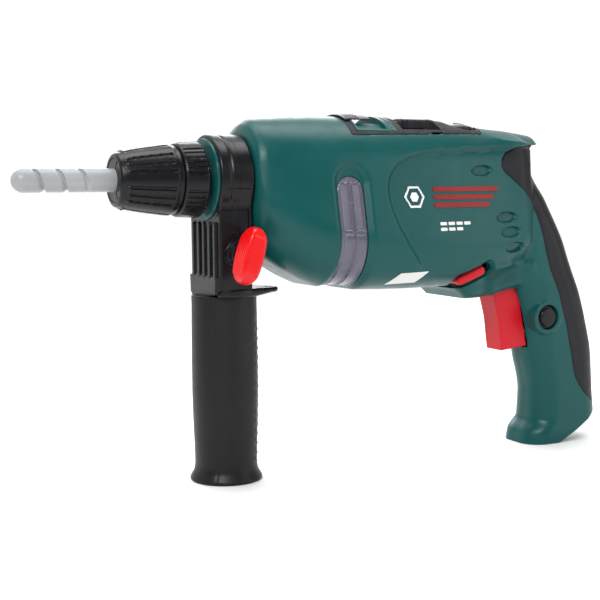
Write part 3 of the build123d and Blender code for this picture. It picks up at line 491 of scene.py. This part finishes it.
def grip(x, y, z):
    front, rear, half, r = rows(GRIP, z)
    around = box2(x - (front + rear) / 2, y, (rear - front) / 2, half, r)
    return smax(smax(around, -z, 0.7), z - 153.5, 1.0)


def base(x, y, z):
    """The housing without its recesses."""
    form = smax(barrel(x, y, z), NOSE_X - x, 1.5)
    centre = np.where(z > CAP_Z, CAP_CENTRE, TAIL_CENTRE)
    behind = np.maximum(x - centre, 0) / TAIL_A
    tail = np.where(x > centre, (np.hypot(behind, y / TAIL_B) - 1) * TAIL_A, -9.0)
    form = smax(form, tail, 1.6)
    width = HOOD_HALF + (HOOD_NARROW - HOOD_HALF) * ramp((x - HOOD_X[0]) / (HOOD_X[1] - HOOD_X[0]))
    form = smin(form, smax(polygon2(x, z, HOOD), np.abs(y) - width, 5.0), 4.0)
    form = smin(form, grip(x, y, z), 2.0 + 7.0 * ramp((104 - x) / 10))
    heel = (z - 1.5 - HEEL_RISE * (x - HEEL_START)) / math.hypot(1, HEEL_RISE)
    form = smax(form, -heel, 0.9)
    neck = smax(np.hypot(y, z - AXIS) - NECK_R, slab(x, NECK_X, NOSE_X + 6), 0.8)
    return smin(form, neck, 0.8)


def band_region(x, z, limits, top):
    """Band round the sides and belly of the barrel, with round tops."""
    middle, half = sum(limits) / 2, (limits[1] - limits[0]) / 2
    return box2(x - middle, np.maximum(z - top + half, 0), half, half, half)


def window_region(x, z):
    return band_region(x, z, WINDOW_X, WINDOW_TOP)


def outer(x, y, z):
    """The housing's finished outer surface."""
    form = base(x, y, z)
    inside = -polygon2(x, z, SWOOSH)
    behind = 12.0 * ramp((x - 100.0) / 12.0)
    low = ramp((z - 88.0 + behind) / (14.0 + behind))
    form = form + SWOOSH_DEPTH * ramp((inside + 0.8) / SWOOSH_EDGE) * low
    for vent in VENTS:
        u, v = turned(x, z, vent, VENT_TILT)
        oval = (np.hypot(u / VENT_HALF[0], v / VENT_HALF[1]) - 1) * VENT_HALF[1]
        form = form + VENT_DEPTH * ramp(-oval / 0.9)
    form = form + 1.8 * ramp(-band_region(x, z, RECESS_X, RECESS_TOP) / RECESS_EDGE)
    middle, half = sum(BAY_X) / 2, (BAY_X[1] - BAY_X[0]) / 2
    height, rise = sum(BAY_Z) / 2, (BAY_Z[1] - BAY_Z[0]) / 2
    pad = smax(box2(x - middle, z - height, half + 3, rise + 2.5, 7), np.abs(y - 14) - BAY_OUT + 14, 5.0)
    form = np.where(y > 0, smin(form, pad, 4.0), form)
    around = np.hypot(x - LOCK_XZ[0], z - LOCK_XZ[1])
    ring = smax(around - LOCK_RING_R, slab(y, -LOCK_RING_OUT, -6), 0.9)
    form = smin(form, ring, 1.0)
    u, v = turned(x, z, DIRECTION_XZ, DIRECTION_TILT)
    well = capsule2(u, v, (-8.2, 0), (8.2, 0), 4.4)
    return np.where(y < 0, form + 1.4 * ramp(-well / 1.2), form)


def bay_region(x, z):
    middle, half = sum(BAY_X) / 2, (BAY_X[1] - BAY_X[0]) / 2
    height, rise = sum(BAY_Z) / 2, (BAY_Z[1] - BAY_Z[0]) / 2
    return box2(x - middle, z - height, half, rise, 5)


def trigger_region(x, z, grow):
    whole = np.minimum(polygon2(x, z, TRIGGER), polygon2(x - TRIGGER_PULL, z, TRIGGER))
    return np.minimum(whole, polygon2(x - TRIGGER_PULL / 2, z, TRIGGER)) - grow


# ---------------------------------------------------------------- housing: top panel and its controls
PANEL_X, PANEL_REAR, PANEL_SLOPE = -2.5, 80.0, 0.42  # its rear edge runs forward from the ridge
PANEL_LOW = (156.8, 158.6)  # height of its lower edges, in front and behind
TRAY_X, TRAY_HALF, TRAY_DEPTH, TRAY_WALL = (1.2, 19.0), 19.0, 3.4, 1.1
PIT_CENTRE, PIT_HALF, PIT_FLOOR, PIT_OPEN = 38.1, (11.6, 24.0), 160.1, 17.5
DISH_R, DISH_FLOOR = 11.4, 158.8
DIAL_X, DIAL_R, DIAL_Z = 67.6, 8.8, (158.8, 164.0)


def panel_rear(x, y):
    return (x - PANEL_REAR + PANEL_SLOPE * np.abs(y)) / math.hypot(1, PANEL_SLOPE)


def panel_region(x, y, z):
    share = (x - PANEL_X) / (PANEL_REAR - PANEL_X)
    edge = PANEL_LOW[0] + (PANEL_LOW[1] - PANEL_LOW[0]) * share
    return np.maximum(np.maximum(PANEL_X - x, panel_rear(x, y)), edge - z)


def tray_region(x, y, grow=0.0):
    middle, half = sum(TRAY_X) / 2, (TRAY_X[1] - TRAY_X[0]) / 2
    return box2(x - middle, y, half + grow, TRAY_HALF + grow, 1.0)


def pit_region(x, y, grow=0.0):
    return box2(x - PIT_CENTRE, y, PIT_HALF[0] + grow, PIT_HALF[1] + grow, 9.0)


def dial_region(x, y):
    return np.hypot(x - DIAL_X, y) - DIAL_R


def top_holes(x, y, z):
    """What the shells and the panel leave open for the tray, the knob and the dial."""
    holes = np.minimum(tray_region(x, y, 0.1), np.maximum(pit_region(x, y), np.abs(y) - PIT_OPEN))
    holes = np.minimum(holes, dial_region(x, y) - 0.4)
    dish = np.maximum(dial_region(x, y) + DIAL_R - DISH_R, DISH_FLOOR - z)
    return np.minimum(np.maximum(holes, 150 - z), dish)


# ---------------------------------------------------------------- housing: pieces
# Edge of the soft rear grip, then round behind the handle.
REAR_GRIP = [
    (104.0, 153.6), (92.0, 152.2), (85.4, 149.6), (82.4, 146.0), (81.8, 142.8), (83.4, 140.0), (87.6, 137.0),
    (94.6, 131.4), (102.2, 123.6), (105.4, 118.6), (107.6, 113.4), (109.6, 107.6), (111.2, 101.4),
    (114.8, 91.0), (120.6, 79.0), (126.6, 63.0), (130.6, 48.0), (132.8, 38.0), (134.2, 33.8), (136.6, 30.0),
    (140.0, 25.6), (145.1, 21.0), (150.0, 18.4), (156.0, 16.5), (175.0, 16.5), (175.0, 153.6),
]


def shell(side):
    """One half of the housing: side is -1 for the left half and 1 for the right."""
    def field(x, y, z):
        skin = outer(x, y, z)
        soft = polygon2(x, z, REAR_GRIP)
        lid = panel_region(x, y, z)
        lens = window_region(x, z)
        recess = np.minimum(np.minimum(soft, lid), lens)
        form = np.maximum(skin, np.minimum(-recess, skin + SKIN))
        form = np.maximum(form, -(skin + WALL + 0.5))
        form = np.maximum(form, 0.03 - side * y)
        form = np.maximum(form, -top_holes(x, y, z))
        form = np.maximum(form, -np.maximum(lens + 1.0, -4 - skin))
        trigger_gap = np.maximum(trigger_region(x, z, 0.4), np.abs(y) - TRIGGER_HALF - 0.4)
        form = np.maximum(form, -trigger_gap)
        form = np.maximum(form, -np.maximum(np.hypot(y, z - AXIS) - 6.6, slab(x, NECK_X - 2, NECK_X + 8)))
        if side < 0:
            lock = np.hypot(x - LOCK_XZ[0], z - LOCK_XZ[1]) - LOCK_HOLE_R
            u, v = turned(x, z, DIRECTION_XZ, DIRECTION_TILT)
            slot = capsule2(u, v, (-7.6, 0), (7.6, 0), 2.9)
            form = np.maximum(form, -np.maximum(np.minimum(lock, slot), y + 8))
        else:
            form = np.maximum(form, -np.maximum(bay_region(x, z), 8 - y))
            for screw in SCREWS:
                head = np.hypot(x - screw[0], z - screw[1])
                form = np.maximum(form, -np.maximum(head - 3.0, 6 - y))
                sleeve = np.maximum(np.abs(head - 3.7) - 0.7, np.maximum(skin + 0.3, 5.5 - y))
                form = np.minimum(form, sleeve)
        return form
    return field


def rear_grip(x, y, z):
    skin = outer(x, y, z)
    form = smax(skin + 0.05, polygon2(x, z, REAR_GRIP) + JOIN, 0.9)
    return np.maximum(form, -(skin + SKIN - 0.02))


def top_panel(x, y, z):
    """Grained black insert with raised rims at its rear and pits for the knob and the dial."""
    skin, region = outer(x, y, z), panel_region(x, y, z)
    rear = panel_rear(x, y)
    rims = 0.55 * (ridge(rear + 1.0, 0.5) + ridge(rear + 4.2, 0.5))
    hump = 0.7 * ramp((x - 47) / 4) * ramp((60 - x) / 5) * ramp((12 - np.abs(y)) / 6)
    lip = 0.35 * ridge(pit_region(x, y) - 0.7, 0.6)
    form = smax(skin - rims - hump - lip, region + JOIN, 0.5)
    form = np.maximum(form, -(skin + SKIN - 0.02))
    form = np.maximum(form, -top_holes(x, y, z))
    form = np.maximum(form, -np.maximum(pit_region(x, y), PIT_FLOOR - z))
    cup = np.maximum(pit_region(x, y, 1.1), np.maximum(skin + 0.3, PIT_FLOOR - 1.2 - z))
    cup = np.maximum(cup, -np.maximum(pit_region(x, y), PIT_FLOOR - z))
    dish = dial_region(x, y) + DIAL_R - DISH_R
    ring = np.maximum(np.maximum(dish - 1.2, 0.4 - dial_region(x, y)), skin + 0.3)
    ring = np.maximum(ring, DISH_FLOOR - 1.4 - z)
    ring = np.maximum(ring, -np.maximum(dish, DISH_FLOOR - z))
    return np.minimum(form, np.minimum(cup, ring))


def slider_tray(x, y, z):
    """Green tray that the slider runs in, with a second rim behind it."""
    skin, region = outer(x, y, z), tray_region(x, y)
    form = np.maximum(region + 0.05, slab(skin, -TRAY_DEPTH - 1.1, 0.35))
    depth = TRAY_DEPTH - 1.9 * ramp((np.abs(y) - 8.5) / 2)
    hollow = np.maximum(region + TRAY_WALL, -(skin + depth))
    form = np.maximum(form, -hollow)
    bar = np.maximum(np.abs(x - TRAY_X[1] - 3.0) - 0.55, np.abs(y) - TRAY_HALF)
    bar = np.maximum(bar, slab(skin, -0.4, 0.35))
    strip = np.maximum(slab(x, TRAY_X[1] - 0.5, TRAY_X[1] + 3.0), np.abs(y) - TRAY_HALF)
    strip = np.maximum(strip, slab(skin, -0.4, 0.1))
    return np.minimum(form, np.minimum(bar, strip))


def light_window(x, y, z):
    """Smoked lens with raised outlines, one loop above another."""
    skin, region = outer(x, y, z), window_region(x, z)
    split, middle = 113.0, sum(WINDOW_X) / 2
    pair = np.maximum(np.abs(np.abs(x - middle) - 3.1) - 2.5, z - WINDOW_TOP + 3.4)
    loops = np.maximum(pair, 0.8 - np.abs(z - split))
    lines = 0.45 * ridge(loops, 0.4) + 0.3 * ridge(region + 1.0, 0.4)
    form = np.maximum(skin + 0.25 - lines, -(skin + 1.75))
    return smax(form, region + JOIN, 0.5)


def battery_cover(x, y, z):
    """Lid on the right-hand side, with five raised grip ridges near its rear edge."""
    skin, region = outer(x, y, z), bay_region(x, z)
    grips = 0.0
    for step in range(5):
        grips = grips + ridge(x - BAY_X[1] + 5 + 2.2 * step, 0.5) * ramp((9 - np.abs(z - 128)) / 1.5)
    form = smax(skin - 0.45 * grips, region + 0.3, 0.8)
    form = np.maximum(form, -(skin + 1.4))
    return np.maximum(form, 10 - y)


HOUSE_STEP = 0.9
LEFT_BOX, RIGHT_BOX = ((-71, -37, -2), (156, 2, 169)), ((-71, -2, -2), (156, 37, 169))
piece("left_housing", "housing", GREEN, shell(-1), *LEFT_BOX, HOUSE_STEP, ("left_shell",))
piece("right_housing", "housing", GREEN, shell(1), *RIGHT_BOX, HOUSE_STEP, ("right_shell",))
piece("rear_grip_skin", "housing", SOFT_BLACK, rear_grip, (82, -24, 12), (156, 24, 157), 0.8, ("rear_grip",))
piece("top_insert", "housing", PANEL_BLACK, top_panel, (-5, -23, 148), (83, 23, 169), 0.55, ("top_panel",))
piece("slider_tray", "housing", GREEN, slider_tray, (-1, -19, 148), (25, 19, 169), 0.4)
piece("window_lens", "housing", FINISHES["smoked_lens"], light_window, (-18, -37, 82), (0, 37, 140), 0.45,
      ("light_window",))
piece("battery_lid", "battery_cover", GREEN, battery_cover, (6, 8, 102), (66, 37, 155), 0.7,
      ("battery_cover",))


# ---------------------------------------------------------------- housing: badge and printed marks
def emblem(x, y, z):
    """Plain hexagonal ring with a small hexagon in its middle."""
    u, v = np.abs(x - 26.2), np.abs(z - 128.5)
    edge = np.maximum(u * 0.866 + v * 0.5, v) - 5.0
    skin = outer(x, y, z)
    height = 0.55 - 0.45 * ramp((-edge - 1.0) / 0.35) + 0.45 * ramp((-edge - 2.3) / 0.35)
    gap = np.maximum(edge + 1.2, -(edge + 2.9))
    return np.maximum(np.maximum(smax(edge, skin - height, 0.3), -(skin + 0.5)), -gap)


def stripes(x, y, z):
    """Three raised bars, each a little shorter than the one above."""
    bars = 1e9
    for row in range(3):
        bar = box2(x - 57.6 + 1.5 * row, z - 132.0 + 3.7 * row, 20.4 - 1.5 * row, 1.15, 1.0)
        bars = np.minimum(bars, bar)
    skin = outer(x, y, z)
    return np.maximum(smax(bars, skin - 0.4, 0.3), -(skin + 0.5))


def dashes(x, y, z):
    """Two rows of printed dashes."""
    marks = 1e9
    for row in range(2):
        for column in range(4 - row):
            mark = box2(x - 41.6 - 5.0 * column, z - 115.9 + 2.6 * row, 2.0, 0.75, 0.5)
            marks = np.minimum(marks, mark)
    skin = outer(x, y, z)
    return np.maximum(np.maximum(marks, skin - 0.16), -(skin + 0.4))


def label(x, y, z):
    """Blank white label low on the side."""
    edge = polygon2(x, z, [(19.0, 93.4), (34.0, 93.8), (29.4, 88.4), (13.6, 88.0)])
    skin = outer(x, y, z)
    return np.maximum(np.maximum(edge, skin - 0.16), np.maximum(-(skin + 0.4), y))


piece("badge", "housing", BADGE, emblem, (19, -37, 121), (34, -24, 136), 0.3)
piece("side_stripes", "housing", RED_PRINT, stripes, (35, -37, 121), (80, -20, 135), 0.35)
piece("side_dashes", "housing", WHITE_PRINT, dashes, (38, -37, 111), (61, -24, 119), 0.3)
piece("blank_label", "housing", WHITE_PRINT, label, (9, -35, 85), (39, -10, 97), 0.35)


# ---------------------------------------------------------------- controls
def slider(x, y, z):
    """Curved cap just clear of the tray, on a stem that runs in it."""
    low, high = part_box("gear_slider")
    x0, x1 = low.x / MM + 0.4, high.x / MM
    skin = outer(x, y, z)
    ribs = 0.0
    for step in range(4):
        ribs = ribs + ridge(x - x0 - 3.0 - 1.8 * step, 0.45)
    plan = box2(x - (x0 + x1) / 2, y, (x1 - x0) / 2, 12.0, 1.2)
    form = smax(plan, slab(skin + 0.25 - 0.25 * ribs, 0.66, 1.32), 0.4)
    stem = np.maximum(box2(x - TRAY_X[0] - 3.8, y, 2.4, 3.0, 0.6), slab(z, 163.3, 166.9))
    return np.minimum(form, stem)


def knob(x, y, z):
    """Ribbed thumb knob with a thin lip in front."""
    low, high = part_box("mode_knob")
    x0, x1, top = low.x / MM, high.x / MM, high.z / MM
    grip_x = (x0 + 4.6 + x1) / 2
    ribs = 0.42 * np.cos((x - grip_x) * 2 * math.pi / 1.9) * ramp((np.abs(y) - 3) / 2)
    block = box2(x - grip_x, y, (x1 - x0 - 4.6) / 2, 8.4, 2.6) - ribs
    block = smax(block, slab(z, 160.6, top - 0.01 * y * y), 0.9)
    lip = smax(box2(x - (x0 + x1) / 2, y, (x1 - x0) / 2, 6.6, 3.0), slab(z, 160.6, top - 1.6), 0.5)
    return np.minimum(block, lip)


def dial(x, y, z):
    """Domed dial with notches round its edge and a pointer rib."""
    r = np.hypot(x - DIAL_X, y)
    angle = np.arctan2(y, x - DIAL_X)
    notches = 0.45 * np.clip(np.cos(angle * 20), 0, 1)
    pointer = 0.5 * ridge(y, 0.7) * ramp((7 - r) / 1.5) * (x > DIAL_X - 0.5)
    dome = z - DIAL_Z[1] + 0.024 * r * r - pointer
    return smax(smax(r - DIAL_R + notches, dome, 0.5), DIAL_Z[0] - z, 0.3)


def lock(x, y, z):
    """Round button with a stepped cap, hollow where its spring goes as it is pressed."""
    r = np.hypot(x - LOCK_XZ[0], z - LOCK_XZ[1])
    skirt = smax(r - 5.9, slab(y, -15.0, -9.7), 0.6)
    cap = smax(r - 4.7 - 0.2 * (y + 16.2), slab(y, -16.6 + 0.012 * r * r, -12), 0.8)
    low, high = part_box("lock_spring")
    spring = np.maximum(r - (high.x - low.x) / MM / 2 - SPRING_ROOM, low.y / MM - 2.0 - y)
    return np.maximum(np.minimum(skirt, cap), -spring)


def direction(x, y, z):
    """Half-round bar, at the front end of its slot."""
    u, v = turned(x, z, DIRECTION_XZ, DIRECTION_TILT)
    front = -1.8
    bar = capsule2(u, v, (front - 6.0, 0), (front + 6.0, 0), 2.4)
    return smax(bar, slab(y, -23.2, -11), 1.9)


def trigger(x, y, z):
    """Flat-sided trigger, hollow under the finger and where its spring goes as it is pulled."""
    side = polygon2(x, z, TRIGGER)
    hollow = 0.9 * ridge((z - 66) / 9.0, 1.0) * ramp((98 - x) / 6)
    form = smax(side + hollow, np.abs(y) - TRIGGER_HALF, 0.9)
    low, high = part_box("trigger_spring")
    spring = np.hypot(y - (low.y + high.y) / MM / 2, z - (low.z + high.z) / MM / 2)
    spring = spring - (high.z - low.z) / MM / 2 - SPRING_ROOM
    spring = np.maximum(spring, low.x / MM - 5.4 - x)
    return np.maximum(form, -spring)


piece("gear_slider_cap", "gear_slider", CONTROL, slider, (-7, -14, 159), (15, 14, 169), 0.35,
      ("gear_slider",))
piece("mode_knob_cap", "mode_knob", CONTROL, knob, (26, -10, 158), (48, 10, 168), 0.35, ("mode_knob",))
piece("speed_dial_cap", "speed_dial", CONTROL, dial, (57, -11, 157), (79, 11, 166), 0.35, ("speed_dial",))
piece("lock_cap", "lock_button", BLACK, lock, (107, -19, 58), (123, -8, 75), 0.35, ("lock_button",))
piece("direction_bar", "direction_switch", RED, direction, (50, -25, 82), (77, -9, 99), 0.35,
      ("direction_switch",))
piece("trigger_lever", "trigger", RED, trigger, (84, -9, 46), (112, 9, 86), 0.5, ("trigger",))


# ---------------------------------------------------------------- chuck and bit
SLEEVE = [(-109.3, 11.0), (-108.2, 11.8), (-104.0, 12.9), (-98.0, 14.0), (-91.0, 15.0),
          (-84.6, 15.7), (-83.4, 15.6)]
RING = [(-81.4, 15.9), (-80.4, 16.4), (-76.0, 16.7), (-71.4, 16.9), (-70.4, 16.4)]
BIT_R, BIT_TIP, FLUTE_PITCH, FLUTE_END = 5.1, -153.33, 9.9, -120.0


def polar(y, z):
    """Radius and angle round the spindle: 0 faces -Y and a right angle points up."""
    return np.hypot(y, z - AXIS), np.arctan2(z - AXIS, -y)


def grooves(angle, r, spacing, group):
    """Distance along the rim to the nearest groove; every group-th groove is left out."""
    turn = angle / math.radians(spacing)
    nearest = np.round(turn)
    return np.abs(turn - nearest) * math.radians(spacing) * r + 9 * (nearest % group == 0)


def sleeve(x, y, z):
    r, angle = polar(y, z)
    profile = rows(SLEEVE, x)[0]
    off = grooves(angle, 14.0, 15.0, 4)
    start = np.hypot(off, np.maximum(-104.6 - x, 0))
    cut = 0.75 * ramp((0.95 - start) / 0.7) * ramp((-85.2 - x) / 0.6)
    dots = 0.5 * ramp((1.05 - np.hypot(off, x + 105.9)) / 0.7)
    body = smax(r - profile + cut - dots, slab(x, -109.1, -83.8), 0.9)
    body = np.maximum(body, -smax(r - 9.6, x + 108.3, 0.4))
    band = smax(r - 15.1, slab(x, -85, -81.6), 0.4)
    body = np.minimum(body, band)
    return np.maximum(body, -np.maximum(r - 8.6, -93 - x))


def jaws(x, y, z):
    """Three jaw faces in the mouth of the sleeve."""
    r, angle = polar(y, z)
    third = np.abs((angle / (2 * math.pi) * 3) % 1 - 0.5) * 2 * math.pi / 3 * r
    return np.maximum(smax(r - 9.5, slab(x, -108.9, -100), 0.3), np.maximum(0.5 - third, BIT_R + 0.05 - r))


def ring(x, y, z):
    r, angle = polar(y, z)
    profile = rows(RING, x)[0]
    off = grooves(angle, 16.6, 9.0, 8)
    wide = 9 * (np.round(angle / math.radians(9.0)) % 8 == 7)
    cut = 0.6 * ramp((0.8 - off - wide) / 0.5) * ramp((x + 80.6) / 0.5) * ramp((-71.2 - x) / 0.5)
    form = smax(r - profile + cut, slab(x, -81.4, -70.4), 0.5)
    return np.maximum(form, 8.6 - r)


def bit(x, y, z):
    """Round-nosed bit with a shallow helical flute, steep on one side."""
    r, angle = polar(y, z)
    centre = BIT_TIP + BIT_R
    shank = np.where(x < centre, np.sqrt((x - centre) ** 2 + r * r), r) - BIT_R
    turn = (x - BIT_TIP - 2.0) / FLUTE_PITCH + angle / (2 * math.pi)
    axial = (turn - np.round(turn)) * FLUTE_PITCH
    depth = 1.15 * ramp((axial + 2.6) / 2.6) * (axial < 0.25)
    depth = depth * ramp((x - BIT_TIP - 4.2) / 2.5) * ramp((FLUTE_END - x) / 2.5)
    return smax(shank + depth, x + 95.1, 0.3)


piece("chuck_sleeve_ribbed", "spindle", BLACK, sleeve, (-111, -18, 119), (-80, 18, 155), 0.45,
      ("chuck_sleeve",))
piece("chuck_jaws", "spindle", BLACK, jaws, (-110, -11, 126), (-98, 11, 148), 0.4)
piece("chuck_ring_ribbed", "spindle", BLACK, ring, (-83, -19, 118), (-69, 19, 156), 0.45, ("chuck_ring",))
piece("spiral_bit", "spindle", BIT_GREY, bit, (-155, -7, 130), (-93, 7, 144), 0.35, ("drill_bit",))


# ---------------------------------------------------------------- side handle
HANDLE_X, COLLAR_X, COLLAR_R = -57.8, (-66.7, -50.8), 20.2
GUARD_Z, GUARD_TILT, GUARD_R = 86.6, 0.0, 17.5
WING_Z, WING_BOSS_OUT, WING_TILT = 104.0, 21.4, 16.0
BOLT_HOLE_R = 3.05  # for the handle bolt and the wing stud
FOOT = [(-15.2, 94.0), (-14.6, 86.4), (9.0, 81.6), (14.6, 86.0), (15.2, 94.0)]  # wedge in front
HANDLE = [
    (0.0, 16.3), (1.2, 16.5), (2.6, 15.9), (5.0, 14.7), (8.0, 14.25), (16.0, 14.4), (28.0, 14.8),
    (45.0, 15.1), (70.0, 15.0), (80.0, 14.9), (92.0, 14.8),
]


def guard_frame(x, z):
    """Coordinates along and across the guard plate."""
    return turned(x, z, (HANDLE_X, GUARD_Z), GUARD_TILT)


def clamp(side):
    """Half of the collar and its block: side is -1 for the front half and 1 for the rear."""
    def field(x, y, z):
        middle, half = sum(COLLAR_X) / 2, (COLLAR_X[1] - COLLAR_X[0]) / 2
        r = np.hypot(y, z - AXIS)
        band = 0.4 * ridge(x - COLLAR_X[0] - 5.4, 0.6)
        collar = smax(r - COLLAR_R + band, np.abs(x - middle) - half, 1.2)
        across = np.abs(y) - 16.4 - 1.2 * (z - GUARD_Z) / (AXIS - GUARD_Z)
        block = smax(across, box2(x - middle, z - 112, half, 26, 0.8), 1.1)
        form = smin(collar, block, 0.8)
        for row in range(5):
            rib = capsule2(y - 6.2 * (row - 2), z, (0, 94.0), (0, 117.0), 1.3)
            form = smin(form, smax(rib, slab(x, COLLAR_X[0] - 1.1, COLLAR_X[0] + 1), 0.6), 0.5)
        foot = smax(polygon2(y, z, FOOT), np.abs(x + 66.6) - 1.7, 0.7)
        form = smin(form, foot, 1.0)
        panel = smax(box2(x + 59.3, z - 118.7, 6.7, 5.3, 0.6), 16.4 - np.abs(y), 0.3)
        form = smax(form, -panel, 0.3)
        step = np.maximum(slab(z, 0, 112.4), np.maximum(17.0 - np.abs(y), slab(x, -65.4, -40)))
        form = smax(form, -(step + 0.8), 0.3)
        line = np.maximum(np.abs(z - 133.0) - 0.3, 19.4 - np.abs(y))
        form = np.maximum(form, -np.maximum(line, slab(x, -64, -53)))
        around = np.hypot(x - HANDLE_X, z - WING_Z)
        boss = smax(around - 6.3, slab(y, -19.4, -10), 0.7)
        boss = smin(boss, smax(around - 5.0, slab(y, -WING_BOSS_OUT, -10), 0.6), 0.3)
        form = smin(form, boss, 0.5)
        above = guard_frame(x, z)[1]
        form = np.maximum(form, 1.5 - above - 30 * (x < COLLAR_X[0] + 0.2))
        stud = around - BOLT_HOLE_R + 99 * (y > -4)
        form = np.maximum(form, -np.minimum(r - NECK_R - 0.05, stud))
        bolt = np.maximum(np.hypot(x - HANDLE_X, y) - BOLT_HOLE_R, z - 98)
        form = np.maximum(form, -bolt)
        return np.maximum(form, 0.04 - side * (x - HANDLE_X))
    return field


def guard(x, y, z):
    """Plate over the hand, tapering to a thin tongue behind."""
    along, above = guard_frame(x, z)
    plan = taper2(along, np.abs(y), (0, 0), (20.6, 0), GUARD_R, 6.0)
    plan = smax(plan, COLLAR_X[0] + 0.3 - x, 1.5)
    half = 1.45 - 0.7 * ramp((along - 8) / 16)
    rim = 0.35 * ridge(plan + 1.0, 0.8)
    form = smax(plan, np.abs(above - 0.05) - half - rim, 0.7)
    return np.maximum(form, BOLT_HOLE_R - np.hypot(x - HANDLE_X, y))


def side_grip(x, y, z):
    """Turned handle with a mould seam and small nubs on its rear side."""
    r = np.hypot(x - HANDLE_X, y)
    angle = np.degrees(np.arctan2(y, x - HANDLE_X))
    profile = rows(HANDLE, z)[0]
    seam = 0.0
    for place in (-129.0, 51.0):
        seam = seam + 0.22 * ridge((angle - place) / 57.3 * r, 0.35)
    nubs = 0.0
    for place in (-44.0, -28.0, 28.0, 44.0):
        height = (z - 10 + (abs(place) > 30) * 2.2) % 4.4 - 2.2
        spot = np.hypot((angle - place) / 57.3 * r, height)
        nubs = nubs + 0.22 * ramp((1.15 - spot) / 0.9) * (np.abs(z - 40) < 32)
    form = smax(r - profile + seam - nubs, 0.04 - z, 0.9)
    above = guard_frame(x, z)[1]
    form = smax(form, above + 1.5, 0.5)
    return np.maximum(form, -np.maximum(r - BOLT_HOLE_R, 15.9 - z))


def wing(x, y, z):
    """Thumb wing: a ribbed blade, thickest in its middle, on a round hub."""
    u, v = turned(x, z, (HANDLE_X, WING_Z), -WING_TILT)
    out = -y
    outline = box2(v, out - 28.6, 12.8, 5.9, 5.8)
    ribs = 0.14 * np.cos(out * 2 * math.pi / 2.1) * ramp((12 - np.abs(v)) / 3)
    half = 0.9 + 3.5 * np.sqrt(np.clip(1 - (v / 13.6) ** 2, 0, 1))
    blade = smax(outline, (np.abs(u) - half) * 0.85 - ribs, 1.1)
    hub = smax(np.hypot(u, v) - 3.9, slab(out, WING_BOSS_OUT + 0.3, 29.5), 0.7)
    return smin(blade, hub, 0.8)


piece("collar_front", "side_handle", BLACK, clamp(-1), (-71, -23, 80), (-56, 23, 159), 0.5, ("clamp_front",))
piece("collar_rear", "side_handle", BLACK, clamp(1), (-59, -23, 84), (-49, 23, 159), 0.5, ("clamp_rear",))
piece("guard_plate", "side_handle", BLACK, guard, (-77, -20, 82), (-29, 20, 92), 0.45, ("hand_guard",))
piece("handle_grip", "side_handle", HANDLE_BLACK, side_grip, (-76, -19, -1), (-39, 19, 88), 0.55,
      ("side_grip",))
piece("wing_blade", "wing_screw", WING_RED, wing, (-67, -36, 88), (-48, -20, 120), 0.4, ("wing_knob",))


# ---------------------------------------------------------------- floor, light and camera
def make_floor():
    material, tree, shader = new_material("pale_floor", "floor")
    tree.links.new(tint(tree, noise(tree, 3, 2), (0.86, 0.86, 0.86), 0.01), shader.inputs["Base Color"])
    shader.inputs["Roughness"].default_value = 0.7
    mesh = bpy.data.meshes.new("floor")
    low, high = (-1.3, -1.5), (1.3, 0.8)
    corners = [(low[0], low[1], 0), (high[0], low[1], 0), (high[0], high[1], 0), (low[0], high[1], 0)]
    mesh.from_pydata(corners, [], [(0, 1, 2, 3)])
    mesh.materials.append(material)
    floor = bpy.data.objects.new("floor", mesh)
    bpy.context.scene.collection.objects.link(floor)
    floor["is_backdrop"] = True


def area_light(name, place, target, size, power):
    lamp = bpy.data.lights.new(name, "AREA")
    lamp.shape = "RECTANGLE"
    lamp.size, lamp.size_y = size
    lamp.energy = power
    holder = bpy.data.objects.new(name, lamp)
    holder.location = place
    holder.rotation_euler = (Vector(target) - Vector(place)).to_track_quat("-Z", "Y").to_euler()
    bpy.context.scene.collection.objects.link(holder)


def make_camera():
    """At the three-quarter side view of the drill, a little above its middle."""
    target = Vector((-0.0190, 0.0, 0.0806))
    back = Vector((-0.4519, -0.8869, 0.0958)).normalized()
    camera = bpy.data.cameras.new("camera")
    camera.lens, camera.sensor_width = 72.0, 36.0
    camera.dof.use_dof = False
    holder = bpy.data.objects.new("camera", camera)
    turn = (-back).to_track_quat("-Z", "Y").to_matrix()
    roll = Matrix.Rotation(math.radians(-0.4), 3, "Z")
    holder.matrix_world = (turn @ roll).to_4x4()
    holder.location = target + back * 0.564
    bpy.context.scene.collection.objects.link(holder)
    bpy.context.scene.camera = holder


make_floor()
middle = (0.0, 0.0, 0.09)
area_light("key", (-0.75, -0.85, 0.95), middle, (0.7, 0.5), 18.0)
area_light("fill", (0.95, -0.8, 0.45), middle, (0.9, 0.9), 5.0)
area_light("top", (0.05, 0.15, 1.15), middle, (1.2, 0.6), 12.0)
area_light("back", (0.3, 1.1, 0.6), middle, (1.0, 0.6), 8.0)
world = bpy.data.worlds.new("studio")
world.use_nodes = True
sky = world.node_tree
facing = sky.nodes.new("ShaderNodeTexCoord")
parts = sky.nodes.new("ShaderNodeSeparateXYZ")
glow = sky.nodes.new("ShaderNodeMapRange")
sky.nodes["Background"].inputs["Color"].default_value = (1, 1, 1, 1)
for name, value in (("From Min", 0.1), ("From Max", 0.4), ("To Min", 0.22), ("To Max", 1.05)):
    glow.inputs[name].default_value = value
sky.links.new(facing.outputs["Generated"], parts.inputs["Vector"])
sky.links.new(parts.outputs["Y"], glow.inputs["Value"])
sky.links.new(glow.outputs["Result"], sky.nodes["Background"].inputs["Strength"])
bpy.context.scene.world = world
bpy.context.scene.view_settings.view_transform = "Standard"
make_camera()

boxes = {"cad": cad_box, "visual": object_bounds()}
{name: [list(low), list(high)] for name, (low, high) in boxes.items()}
